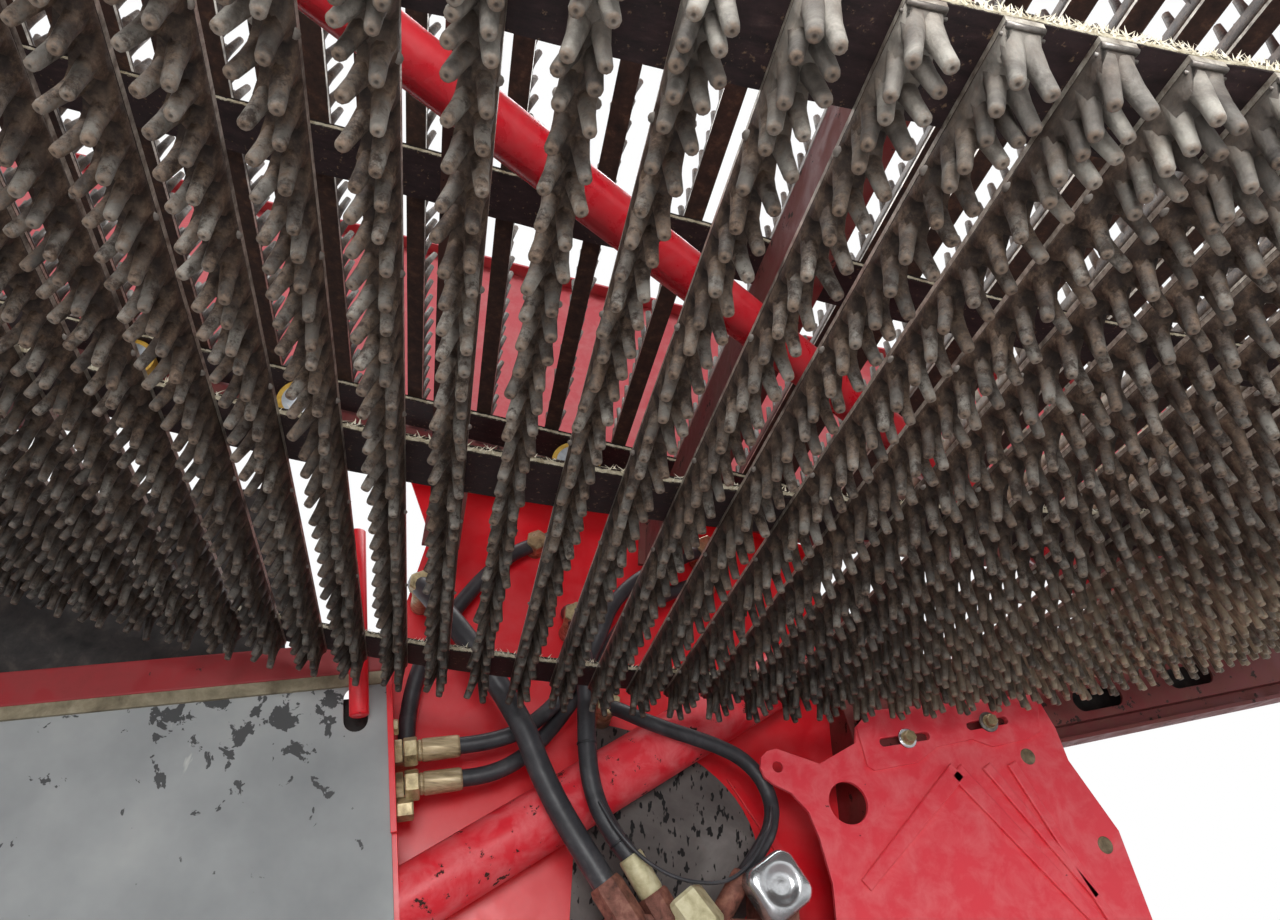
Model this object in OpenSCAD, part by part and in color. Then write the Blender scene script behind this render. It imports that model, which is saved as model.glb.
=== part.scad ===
// Rubber finger web unit of a towed potato harvester, with the carrier that it tilts on.
// The web runs along X, its cross strips lie along Y. The origin is the middle of the
// carrier's mounting flange, on the flange's outer face, which looks towards -X.

/* [Web] */
// Half the length of a cross strip
web_half_w = 556; // [450:1:700]
// Width of a carrying belt
belt_w = 75; // [50:1:100]
// Thickness of a carrying belt
belt_t = 10; // [6:0.5:14]
// Number of cross strips in the loop
strip_count = 114; // [80:1:140]
// Width of a strip's steel flat
strip_w = 25; // [18:0.5:32]
// Thickness of a strip's steel flat
strip_t = 5; // [3:0.5:8]
// Height of the finger tips over the belt
finger_h = 53; // [40:1:70]
// Thickness of a finger
finger_d = 9.5; // [7:0.5:12]
// Lean of each finger row away from the strip's middle
finger_lean = 11; // [5:1:18]

/* [Loop] */
// Gap between the cross tube and the finger tips that pass it
tube_gap = 35; // [20:1:80]
// Radius of the drive wheels
drive_r = 110; // [90:1:130]
// Distance along X between the drive shaft and the idler shaft
shaft_span = 3116; // [2700:1:3600]
// Drop of the idler shaft below the drive shaft
idler_drop = 123; // [60:1:200]
// Radius of the idler wheels
idler_r = 60; // [50:1:80]
// Radius of the curve that the slack web hangs in
sag_r = 3900; // [3600:10:4200]
// Slope of the carrying run down from the drive wheels
run_slope = 6.6; // [5:0.1:8]

/* [Frame] */
// Gap between the strips' ends and a side rail
web_gap = 10; // [5:0.5:40]
// Width of a side rail
rail_w = 40; // [30:1:60]
// Height of a side rail
rail_h = 45; // [35:1:60]
// Distance from the drive shaft to the side rails' bend
rail_bend = 2080; // [1800:10:2300]
// Height of a side board over its rail
board_h = 470; // [300:10:500]
// Diameter of the diagonal brace tube
brace_d = 52; // [40:1:60]
// Gap between the diagonal brace tube and the returning web under its far end
brace_gap = 15; // [5:1:40]
// Diameter of the drive and idler shafts
shaft_d = 45; // [35:1:50]

/* [Support rollers] */
// Diameter of a support roller
roller_d = 85; // [70:1:100]
// Width of a support roller
roller_w = 50; // [40:1:60]
// Distances of the outer support rollers from the drive shaft
roller_runs = [300, 844, 1134, 1603];

/* [Carrier] */
// Side of the carrier's square cross tube
tube_a = 100; // [80:1:120]
// Length of the cross tube past a console
tube_over = 85; // [75:1:200]
// Thickness of a pivot console
console_t = 15; // [10:1:20]
// Gap between a side rail's outer face and a console
console_gap = 34; // [30:1:100]
// Diameter of a console's pivot bore
pivot_d = 90; // [80:1:100]

/* [Mounting flange] */
// Width of the flange along Y
flange_w = 320; // [280:1:400]
// Height of the flange
flange_h = 220; // [200:1:260]
// Distance between the bolt holes along Y
bolt_dy = 250; // [200:1:300]
// Distance between the bolt holes along Z
bolt_dz = 160; // [140:1:200]
// Diameter of a bolt hole
bolt_hole = 18; // [14:1:22]

/* [Hidden] */
$fn = 48;

red = [0.78, 0.09, 0.10];
dark_red = [0.38, 0.10, 0.09];
rust_brown = [0.33, 0.20, 0.15];
steel = [0.55, 0.54, 0.52];
black_rubber = [0.09, 0.08, 0.08];
finger_grey = [0.33, 0.30, 0.27];
yellow = [0.85, 0.62, 0.10];

// Where the circle of radius ra at a meets that of radius rb at b, on the left of a to b
function meet(a, ra, b, rb) =
    let (d = norm(b - a), e = (b - a) / d,
         along = (ra * ra - rb * rb + d * d) / (2 * d),
         off = sqrt(ra * ra - along * along))
    a + e * along + off * [-e[1], e[0]];
function heading(v) = atan2(v[1], v[0]);
function turn(from, to) = (to - from + 720) % 360;
function unit(a) = [cos(a), sin(a)];

// Places that follow from the sizes above
flange_t = 12;
tube_x = flange_t;
drive_x = tube_x + tube_a + tube_gap + finger_h + belt_t + drive_r;
idler_x = drive_x + shaft_span;
idler_z = -idler_drop;
belt_inset = 0.5;
belt_y = web_half_w - belt_w / 2 - belt_inset;
rail_y = web_half_w + web_gap;
rail_out = rail_y + rail_w;
console_y = rail_out + console_gap;
tube_half = console_y + console_t + tube_over;

// The loop of the belts' inner faces, in the X and Z plane
drive_c = [drive_x, 0];
idler_c = [idler_x, idler_z];
return_c = meet(drive_c, sag_r - drive_r, idler_c, sag_r - idler_r);
run_dir = unit(-run_slope);
run_up = unit(90 - run_slope);
run_start = drive_c + drive_r * run_up;
to_slack = drive_c + (drive_r + sag_r) * run_up - idler_c;
run_len = -to_slack * run_dir
    - sqrt(pow(to_slack * run_dir, 2) - to_slack * to_slack + pow(sag_r + idler_r, 2));
slack_c = run_start + run_len * run_dir + sag_r * run_up;

// Headings of the places where one stretch of the loop meets the next
slack_from = -run_slope - 90;
slack_to = heading(idler_c - slack_c);
idler_from = slack_to + 180;
idler_to = heading(idler_c - return_c);
drive_from = heading(drive_c - return_c);
drive_to = 90 - run_slope;

// Lengths of the five stretches along the middle of the belts
mid = belt_t / 2;
stretch = [
    run_len,
    (sag_r - mid) * turn(slack_from, slack_to) * PI / 180,
    (idler_r + mid) * turn(idler_to, idler_from) * PI / 180,
    (sag_r + mid) * turn(drive_from, idler_to) * PI / 180,
    (drive_r + mid) * turn(drive_to, drive_from) * PI / 180
];
ends = [for (i = 0, sum = 0; i <= 5; sum = sum + (i < 5 ? stretch[i] : 0), i = i + 1) sum];
loop_len = ends[5];
pitch = loop_len / strip_count;

// Strips sit this far off the belts' true curve, since the belts are drawn in short flats
seat = 0.2;

// Point of the loop at the length s, out from the belts' inner faces by off, and the
// heading that looks out of the loop there
function on_arc(c, r, a, look, off) = [c + (r + off) * unit(a), look];
function on_loop(s, off) =
    s < ends[1] ? [run_start + s * run_dir + off * run_up, drive_to]
    : s < ends[2] ? let (a = slack_from + (s - ends[1]) / (sag_r - mid) * 180 / PI)
        on_arc(slack_c, sag_r, a, a + 180, -off)
    : s < ends[3] ? let (a = idler_from - (s - ends[2]) / (idler_r + mid) * 180 / PI)
        on_arc(idler_c, idler_r, a, a, off)
    : s < ends[4] ? let (a = idler_to - (s - ends[3]) / (sag_r + mid) * 180 / PI)
        on_arc(return_c, sag_r, a, a, off)
    : let (a = drive_from - (s - ends[4]) / (drive_r + mid) * 180 / PI)
        on_arc(drive_c, drive_r, a, a, off);

// Steps that each stretch of a belt's outline is drawn in
belt_steps = [1, 16, 16, 38, 14];
outline_s = [for (k = [0:4]) for (i = [0:belt_steps[k] - 1]) ends[k] + i * stretch[k] / belt_steps[k]];

// Height of the belts' inner faces at a place along the upper run, and the way up from them
slack_start_x = run_start[0] + run_len * run_dir[0];
function line_z(x) = run_start[1] - (x - run_start[0]) * tan(run_slope);
function run_z(x) = x < slack_start_x
    ? line_z(x) : slack_c[1] - sqrt(sag_r * sag_r - pow(x - slack_c[0], 2));
function run_normal(x) = x < slack_start_x ? run_up : (slack_c - [x, run_z(x)]) / sag_r;
function return_z(x) = return_c[1] - sqrt(sag_r * sag_r - pow(x - return_c[0], 2));

hanger_t = 8;
plate_t = 12;
bush_out = console_y + console_t + 10;
rail_from_x = drive_x + 110;
rail_bend_x = drive_x + rail_bend;
rail_to_x = idler_x - 90;
// The side rails run beside the carrying run to their bend, and from there to the idler
rail_drop = 5;
bend_z = line_z(rail_bend_x) - rail_drop;
rail_end_z = idler_z - 3.5;
function rail_z(x) = x < rail_bend_x
    ? line_z(x) - rail_drop
    : bend_z + (x - rail_bend_x) * (rail_end_z - bend_z) / (rail_to_x - rail_bend_x);

// Draws an outline of the X and Z plane as a slab from y0 to y1
module slab(y0, y1) {
    translate([0, y1, 0]) rotate([90, 0, 0]) linear_extrude(y1 - y0) children();
}
module slab_at(side, y0, y1) {
    slab(side > 0 ? y0 : -y1, side > 0 ? y1 : -y0) children();
}
// A round bar along Y
module bar_y(x, z, d, y0, y1) {
    translate([x, y1, z]) rotate([90, 0, 0]) cylinder(h = y1 - y0, d = d);
}
module box_at(x0, x1, y0, y1, z0, z1) {
    translate([x0, y0, z0]) cube([x1 - x0, y1 - y0, z1 - z0]);
}

module belt(y) {
    color(black_rubber)
        slab(y - belt_w / 2, y + belt_w / 2)
            difference() {
                polygon([for (s = outline_s) on_loop(s, belt_t)[0]]);
                polygon([for (s = outline_s) on_loop(s, 0)[0]]);
            }
}

// Section of one strip: the steel flat and its two leaning rows of fingers
tip_x = strip_w / 4 + finger_h * tan(finger_lean);
strip_section = [
    [-strip_w / 2, 0], [strip_w / 2, 0], [strip_w / 2, strip_t],
    [tip_x + finger_d / 2, finger_h - 1.5], [tip_x - finger_d / 2, finger_h],
    [0, 13],
    [-tip_x + finger_d / 2, finger_h], [-tip_x - finger_d / 2, finger_h - 1.5],
    [-strip_w / 2, strip_t]
];
module strips(from_s, to_s) {
    color(finger_grey)
        slab(-web_half_w, web_half_w)
            for (i = [0:strip_count - 1])
                let (s = (i + 0.5) * pitch, place = on_loop(s, belt_t + seat))
                    if (s >= from_s && s < to_s)
                        translate(place[0]) rotate(place[1] - 90) polygon(strip_section);
}

module wheel(c, r, y, bore) {
    translate([c[0], y + belt_w / 2 - 2, c[1]]) rotate([90, 0, 0])
        rotate_extrude()
            polygon([[bore, 0], [bore + 14, 0], [bore + 14, 26], [r - 16, 26], [r - 16, 0],
                     [r, 0], [r, belt_w - 4], [r - 16, belt_w - 4], [r - 16, belt_w - 30],
                     [bore + 14, belt_w - 30], [bore + 14, belt_w - 4], [bore, belt_w - 4]]);
}
// A wheel's rim stays this far inside the belts' short flats
rim_gap = 0.7;
module wheels(c, r) {
    color(black_rubber) for (y = [-belt_y, 0, belt_y]) wheel(c, r - rim_gap, y, shaft_d / 2);
}
module drive_shaft() {
    color(steel) bar_y(drive_x, 0, shaft_d, -bush_out - 15, bush_out + 20);
}
module idler_shaft() {
    color(steel) bar_y(idler_x, idler_z, shaft_d, -rail_out - 6, rail_out + 6);
}

// Plate at the drive end of a side, with the pivot bush that turns in its console
module side_plate(side) {
    color(red) difference() {
        union() {
            slab_at(side, rail_y, rail_y + plate_t)
                polygon([[drive_x - 75, -70], [drive_x - 45, -95], [drive_x + 60, -95],
                         [rail_from_x, rail_z(rail_from_x) - 60], [rail_from_x, rail_z(rail_from_x) + 55],
                         [drive_x + 60, 130], [drive_x - 40, 100], [drive_x - 75, 60]]);
            slab_at(side, rail_y, bush_out) translate([drive_x, 0]) circle(d = pivot_d - 0.1);
        }
        slab_at(side, rail_y - 1, bush_out + 1) translate([drive_x, 0]) circle(d = shaft_d + 0.1);
    }
}
module rail(side) {
    xs = [rail_from_x, rail_bend_x, rail_to_x];
    color(dark_red)
        slab_at(side, rail_y, rail_out)
            polygon([for (x = xs) [x, rail_z(x) + rail_h / 2],
                     for (i = [2:-1:0]) [xs[i], rail_z(xs[i]) - rail_h / 2]]);
}
// Hangers on a side rail's outer face: place along X, their foot's height and half width
module hangers(table, side) {
    color(dark_red)
        slab_at(side, rail_out, rail_out + hanger_t)
            for (h = table)
                translate([h[0] - h[2], h[1]]) square([2 * h[2], rail_z(h[0]) + rail_h / 2 - h[1]]);
}
dark_beam_x = drive_x + 1387;
brown_beam_x = drive_x + 1777;
brace_near_x = drive_x + 890;
brace_far_x = idler_x - 349;
brace_z = return_z(brace_far_x) + brace_gap + brace_d / 2;
first_beam_x = drive_x + 680;
last_beam_x = idler_x - 286;

// Cross beams: place along X, top, height and half width
roller_beam_gap = 12;
function roller_beam_top(x) = run_z(x) - roller_d - roller_beam_gap;
first_beam = [first_beam_x, roller_beam_top(first_beam_x), 50, 25];
last_beam = [last_beam_x, roller_beam_top(last_beam_x), 50, 25];
dark_beam = [dark_beam_x, rail_z(dark_beam_x) - 130, 60, 20];
brown_beam = [brown_beam_x, rail_z(brown_beam_x) - 65, 70, 29];
beams = [first_beam, dark_beam, brown_beam, last_beam];
beam_hangers = [for (b = beams) [b[0], b[1] - b[2] - 2, b[3] + 12]];
brace_foot = brace_z - brace_d / 2 - 6;
near_hangers = concat(beam_hangers, [[brace_near_x, brace_foot, 45]]);
far_hangers = concat(beam_hangers, [[brace_far_x, brace_foot, 45]]);
module beam(b) {
    box_at(b[0] - b[3], b[0] + b[3], -rail_out, rail_out, b[1] - b[2], b[1]);
}

// Plate that carries the idler shaft's bearing on a side, slid out by its tension bolt
module idler_slide(side) {
    color(dark_red) difference() {
        union() {
            slab_at(side, rail_y, rail_y + plate_t)
                polygon([[rail_to_x, idler_z - 45], [idler_x + 45, idler_z - 45],
                         [idler_x + 45, idler_z + 45], [rail_to_x, idler_z + 45]]);
            slab_at(side, rail_y, rail_out) translate(idler_c) circle(d = 80);
        }
        slab_at(side, rail_y - 1, rail_out + 1) translate(idler_c) circle(d = shaft_d + 0.1);
    }
}

module cross_beams() {
    color(dark_red) {
        beam(first_beam);
        beam(last_beam);
    }
}
module dark_beam() {
    color(rust_brown) beam(dark_beam);
}
module brown_beam() {
    color(dark_red) beam(brown_beam);
}
module brace_tube() {
    a = [brace_near_x, -rail_out];
    b = [brace_far_x, rail_out];
    color(red) intersection() {
        translate([a[0], a[1], brace_z]) rotate([0, 90, heading(b - a)])
            translate([0, 0, -60]) cylinder(h = norm(b - a) + 120, d = brace_d);
        box_at(a[0] - 100, b[0] + 100, -rail_out, rail_out, brace_z - 50, brace_z + 50);
    }
}

// Support rollers: place along X, side, and the end of the axle away from the web's middle
outer_rollers = [for (r = roller_runs) for (side = [-1, 1]) [drive_x + r, side]];
outer_roller_y = belt_y - 4;
roller_seat = 0.5;
function roller_c(x) = [x, run_z(x)] - (roller_d / 2 + roller_seat) * run_normal(x);
module roller_ring(x, y0, outer, inner) {
    c = roller_c(x);
    translate([c[0], y0 + roller_w, c[1]]) rotate([90, 0, 0])
        difference() {
            cylinder(h = roller_w, d = outer);
            translate([0, 0, -1]) cylinder(h = roller_w + 2, d = inner);
        }
}
middle_rollers = [first_beam, last_beam];
module all_rollers(outer, inner) {
    for (r = outer_rollers) roller_ring(r[0], r[1] * outer_roller_y - roller_w / 2, outer, inner);
    for (m = middle_rollers) roller_ring(m[0], -roller_w / 2, outer, inner);
}
module roller_tyres() {
    color(yellow) all_rollers(roller_d, roller_d - 16);
}
module roller_cores() {
    color(steel) all_rollers(roller_d - 16, 20);
}
module roller_axles() {
    color(steel) {
        for (r = outer_rollers) {
            c = roller_c(r[0]);
            slab_at(r[1], outer_roller_y - roller_w / 2 - 3, rail_y + 10) translate(c) circle(d = 20);
            slab_at(r[1], rail_y + 10, rail_y + 20)
                translate([c[0] - 20, c[1] - 15]) square([40, rail_z(r[0]) - rail_h / 2 - c[1] + 12]);
        }
        for (m = middle_rollers) {
            c = roller_c(m[0]);
            half = roller_w / 2 + 20;
            bar_y(c[0], c[1], 20, -half, half);
            for (y = [-half, half - 8]) box_at(c[0] - 15, c[0] + 15, y, y + 8, m[1], c[1] + 12);
        }
    }
}

// Board that keeps the crop on the carrying run, with its top edge folded inwards
module side_board(side) {
    xs = [rail_from_x, rail_bend_x, rail_to_x];
    lo = rail_h / 2;
    color(red) {
        slab_at(side, rail_out - 4, rail_out)
            polygon([for (x = xs) [x, rail_z(x) + lo + board_h], for (i = [2:-1:0]) [xs[i], rail_z(xs[i]) + lo]]);
        slab_at(side, rail_out - 34, rail_out - 4)
            polygon([for (x = xs) [x, rail_z(x) + lo + board_h],
                     for (i = [2:-1:0]) [xs[i], rail_z(xs[i]) + lo + board_h - 4]]);
    }
}

module hydraulic_motor() {
    color(steel) {
        slab(bush_out, bush_out + 12) difference() {
            translate([drive_x - 62, -62]) square(124);
            translate([drive_x, 0]) circle(d = shaft_d + 0.1);
        }
        slab(bush_out + 20, bush_out + 150) translate([drive_x, 0]) circle(d = 110);
        slab(bush_out + 12, bush_out + 20) difference() {
            translate([drive_x, 0]) circle(d = 110);
            translate([drive_x, 0]) circle(d = shaft_d + 0.1);
        }
        for (dx = [-28, 28]) translate([drive_x + dx, bush_out + 100, 40]) cylinder(h = 38, d = 30);
    }
}

// Tilt cylinder: its foot turns on the near leg, its rod eye on the lug of the near rail
cyl_y = -(console_y + 40);
foot_c = [tube_x + 153, -560];
eye_c = [drive_x + 580, 0];
cyl_dir = (eye_c - foot_c) / norm(eye_c - foot_c);
cyl_len = norm(eye_c - foot_c);
cyl_angle = heading(cyl_dir);
module along_cylinder(from) {
    translate([foot_c[0], cyl_y, foot_c[1]]) rotate([0, 90 - cyl_angle, 0]) translate([0, 0, from]) children();
}
module cylinder_lug() {
    color(dark_red) {
        slab(-rail_out - hanger_t, -rail_out)
            polygon([[eye_c[0] - 60, rail_z(eye_c[0]) + 20], [eye_c[0] + 60, rail_z(eye_c[0]) + 20],
                     [eye_c[0] + 30, -30], [eye_c[0] - 30, -30]]);
        slab(cyl_y - 24, -rail_out - hanger_t) translate(eye_c) circle(d = 30);
    }
}
module cylinder_barrel() {
    color(steel) difference() {
        union() {
            along_cylinder(70) cylinder(h = 570, d = 70);
            along_cylinder(0) cylinder(h = 71, d = 38);
            slab(cyl_y - 20, cyl_y + 20) translate(foot_c) circle(d = 62);
        }
        along_cylinder(95) cylinder(h = 600, d = 40.1);
        slab(cyl_y - 30, cyl_y + 30) translate(foot_c) circle(d = 30.1);
    }
}
module cylinder_rod() {
    color([0.75, 0.75, 0.75]) difference() {
        union() {
            along_cylinder(140) cylinder(h = cyl_len - 140, d = 40);
            slab(cyl_y - 18, cyl_y + 18) translate(eye_c) circle(d = 58);
        }
        slab(cyl_y - 30, cyl_y + 30) translate(eye_c) circle(d = 38);
    }
}

// The carrier that the harvester holds
module mount_flange() {
    color(red) difference() {
        box_at(0, flange_t, -flange_w / 2, flange_w / 2, -flange_h / 2, flange_h / 2);
        for (y = [-1, 1]) for (z = [-1, 1])
            translate([-1, y * bolt_dy / 2, z * bolt_dz / 2]) rotate([0, 90, 0])
                cylinder(h = flange_t + 2, d = bolt_hole);
    }
}
module cross_tube() {
    color(red) difference() {
        box_at(tube_x, tube_x + tube_a, -tube_half, tube_half, -tube_a / 2, tube_a / 2);
        box_at(tube_x + 6, tube_x + tube_a - 6, -tube_half - 1, tube_half + 1, -tube_a / 2 + 6, tube_a / 2 - 6);
    }
}
module console(side) {
    color(red) difference() {
        union() {
            slab_at(side, console_y, console_y + console_t)
                polygon([[tube_x + tube_a, -100], [tube_x + tube_a, 100], [drive_x, 60], [drive_x, -60]]);
            slab_at(side, console_y, console_y + console_t) translate([drive_x, 0]) circle(d = 150);
        }
        slab_at(side, console_y - 1, console_y + console_t + 1) translate([drive_x, 0]) circle(d = pivot_d);
    }
}
leg_y = console_y;
leg_w = 80;
leg_x0 = tube_x + 10;
leg_foot = -720;
module leg_near() {
    color(red) {
        box_at(leg_x0, leg_x0 + leg_w, -leg_y - leg_w, -leg_y, -620, -tube_a / 2);
        for (y = [cyl_y - 32, cyl_y + 22])
            slab(y, y + 10)
                polygon([[leg_x0 + leg_w, -610], [foot_c[0], -600], [foot_c[0] + 30, -560],
                         [foot_c[0], -520], [leg_x0 + leg_w, -500]]);
        slab(cyl_y - 22, cyl_y + 22) translate(foot_c) circle(d = 30);
    }
}
module leg_far() {
    color(red) box_at(leg_x0, leg_x0 + leg_w, leg_y, leg_y + leg_w, leg_foot, -tube_a / 2);
}

// Far side of the carrier: the sill rises away from the leg to the bulkhead
sill_y = console_y + 10;
bulk_x = 1664;
panel_y = sill_y + 115;
sill_slope = 9.5;
function sill_z(x) = -458 + (x - bulk_x) * tan(sill_slope) * 0.9;
module side_sill() {
    color(red) slab(sill_y, sill_y + 50)
        polygon([[leg_x0 + leg_w, sill_z(102)], [bulk_x, sill_z(bulk_x)], [bulk_x, sill_z(bulk_x) - 60],
                 [leg_x0 + leg_w, sill_z(102) - 60]]);
}
module sheet_cover() {
    color([0.62, 0.62, 0.61]) slab(sill_y + 8, sill_y + 11)
        polygon([[900, sill_z(900) - 60], [bulk_x, sill_z(bulk_x) - 60], [bulk_x, -900], [980, -900]]);
}
module bulkhead() {
    color(red) {
        box_at(bulk_x, bulk_x + 8, sill_y, panel_y + 6, -900, -440);
    }
}
module side_panel() {
    color(red) {
        slab(panel_y, panel_y + 6)
            polygon([[bulk_x + 8, -140], [1900, -20], [2100, -12], [2300, -40], [2460, -90],
                     [2460, -760], [bulk_x + 8, -760]]);
        slab(panel_y - 30, panel_y)
            polygon([[1900, -26], [2100, -18], [2300, -46], [2460, -96], [2460, -90], [2300, -40],
                     [2100, -12], [1900, -20]]);
    }
}
strut_d = 100;
strut_a = [1672, -830];
strut_b = [2400, -345];
strut_y = sill_y + 62;
module strut_tube() {
    v = strut_b - strut_a;
    color(red) intersection() {
        translate([strut_a[0], strut_y, strut_a[1]]) rotate([0, 90 - heading(v), 0])
            translate([0, 0, -80]) cylinder(h = norm(v) + 260, d = strut_d);
        box_at(bulk_x + 8, 2460, strut_y - 52, strut_y + 52, -1100, 0);
    }
}
bracket_y = sill_y - 8;
module ribbed_bracket() {
    color(red) difference() {
        union() {
            slab(bracket_y, bracket_y + 8)
                polygon([[2384, -562], [2453, -483], [2485, -457], [2848, -412], [2871, -511], [2894, -628],
                         [2915, -790], [2370, -790], [2400, -700], [2370, -650], [2300, -588], [2314, -539]]);
            slab(bracket_y, bracket_y + 8) translate([2305, -563]) circle(d = 50);
        }
        slab(bracket_y - 1, bracket_y + 9) {
            translate([2305, -563]) circle(d = 20);
            translate([2420, -611]) circle(d = 56);
            for (p = [[2530, -506], [2698, -466]]) translate(p) circle(d = 17);
            for (p = [[2771, -515], [2866, -653]]) translate(p) circle(d = 28);
        }
    }
}
module slotted_beam() {
    color(dark_red) {
        slab(sill_y, sill_y + 60) difference() {
            polygon([[2470, -560], [2861, -480], [3400, -345], [3560, -300], [3560, -120],
                     [3482, -139], [2869, -295], [2470, -400]]);
            for (x = [3050, 3180]) translate([x, -318 + (x - 3050) * 0.26]) circle(d = 40);
        }
        box_at(2460, 2470, sill_y, panel_y + 6, -760, -230);
    }
}

mount_flange();
cross_tube();
console(-1);  // console_near
console(1);  // console_far
leg_near();
leg_far();
side_sill();
sheet_cover();
bulkhead();
side_panel();
strut_tube();
ribbed_bracket();
slotted_beam();
belt(-belt_y);  // belt_near
belt(0);  // belt_middle
belt(belt_y);  // belt_far
strips(ends[0], ends[1]);  // strips_carrying
strips(ends[1], ends[2]);  // strips_slack
strips(ends[2], ends[3]);  // strips_idler_end
strips(ends[3], ends[4]);  // strips_return
strips(ends[4], ends[5]);  // strips_drive_end
drive_shaft();
wheels(drive_c, drive_r);  // drive_wheels
idler_shaft();
wheels(idler_c, idler_r);  // idler_wheels
side_plate(-1);  // side_plate_near
side_plate(1);  // side_plate_far
rail(-1);  // rail_near
rail(1);  // rail_far
hangers(near_hangers, -1);  // hangers_near
hangers(far_hangers, 1);  // hangers_far
idler_slide(-1);  // idler_slide_near
idler_slide(1);  // idler_slide_far
cross_beams();
dark_beam();
brown_beam();
brace_tube();
roller_tyres();
roller_cores();
roller_axles();
side_board(-1);  // side_board_near
side_board(1);  // side_board_far
hydraulic_motor();
cylinder_lug();
cylinder_barrel();
cylinder_rod();
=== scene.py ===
import math

import bpy
import numpy as np
from mathutils import Matrix, Vector


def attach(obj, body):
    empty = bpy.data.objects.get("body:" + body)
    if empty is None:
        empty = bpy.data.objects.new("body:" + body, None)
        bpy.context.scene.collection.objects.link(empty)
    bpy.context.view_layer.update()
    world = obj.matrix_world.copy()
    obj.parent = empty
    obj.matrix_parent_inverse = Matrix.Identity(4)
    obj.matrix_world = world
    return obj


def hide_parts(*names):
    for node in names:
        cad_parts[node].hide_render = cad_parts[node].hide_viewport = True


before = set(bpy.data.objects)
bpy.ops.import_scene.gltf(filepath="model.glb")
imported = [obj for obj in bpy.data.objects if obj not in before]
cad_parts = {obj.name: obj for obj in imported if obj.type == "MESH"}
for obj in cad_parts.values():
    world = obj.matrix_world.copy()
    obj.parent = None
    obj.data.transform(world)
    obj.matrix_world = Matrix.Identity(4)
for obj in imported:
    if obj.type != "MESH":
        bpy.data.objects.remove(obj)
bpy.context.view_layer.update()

MM = 0.001
rng = np.random.default_rng(7)


def linked(name, data):
    """A new object in the scene."""
    o = bpy.data.objects.new(name, data)
    bpy.context.scene.collection.objects.link(o)
    return o


# Camera and light

CAMERA_AT = (1.7791, -0.781, -0.9908)
CAMERA_RIGHT = (0.9782, -0.207, 0.0185)
CAMERA_DOWN = (0.1328, 0.5539, -0.8219)
CAMERA_AHEAD = (0.1599, 0.8064, 0.5693)
PICTURE_W = 1280
FOCAL_PX = 888
FLOOR_Z = -1.0
# Light from all round, as a linear colour
AMBIENT = (0.52, 0.54, 0.56, 1)


def make_camera():
    data = bpy.data.cameras.new("camera")
    data.sensor_width = 36
    data.lens = FOCAL_PX / PICTURE_W * data.sensor_width
    data.clip_start = 0.01
    data.clip_end = 100
    cam = linked("camera", data)
    right, down, ahead = Vector(CAMERA_RIGHT), Vector(CAMERA_DOWN), Vector(CAMERA_AHEAD)
    turn = Matrix((right, -down, -ahead)).transposed()
    cam.matrix_world = Matrix.Translation(CAMERA_AT) @ turn.to_4x4()
    bpy.context.scene.camera = cam


def lamp(name, at, aim, size, power):
    data = bpy.data.lights.new(name, "AREA")
    data.shape = "DISK"
    data.size = size
    data.energy = power
    o = linked(name, data)
    o.location = at
    o.rotation_mode = "QUATERNION"
    o.rotation_quaternion = (Vector(aim) - Vector(at)).to_track_quat("-Z", "Y")


# Node materials


def rgb(r, g, b):
    """A colour written as a screen shows it, 0 to 255, as Blender's linear values."""
    out = []
    for v in (r, g, b):
        v /= 255
        out.append(v / 12.92 if v <= 0.04045 else ((v + 0.055) / 1.055) ** 2.4)
    return (*out, 1.0)


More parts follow.
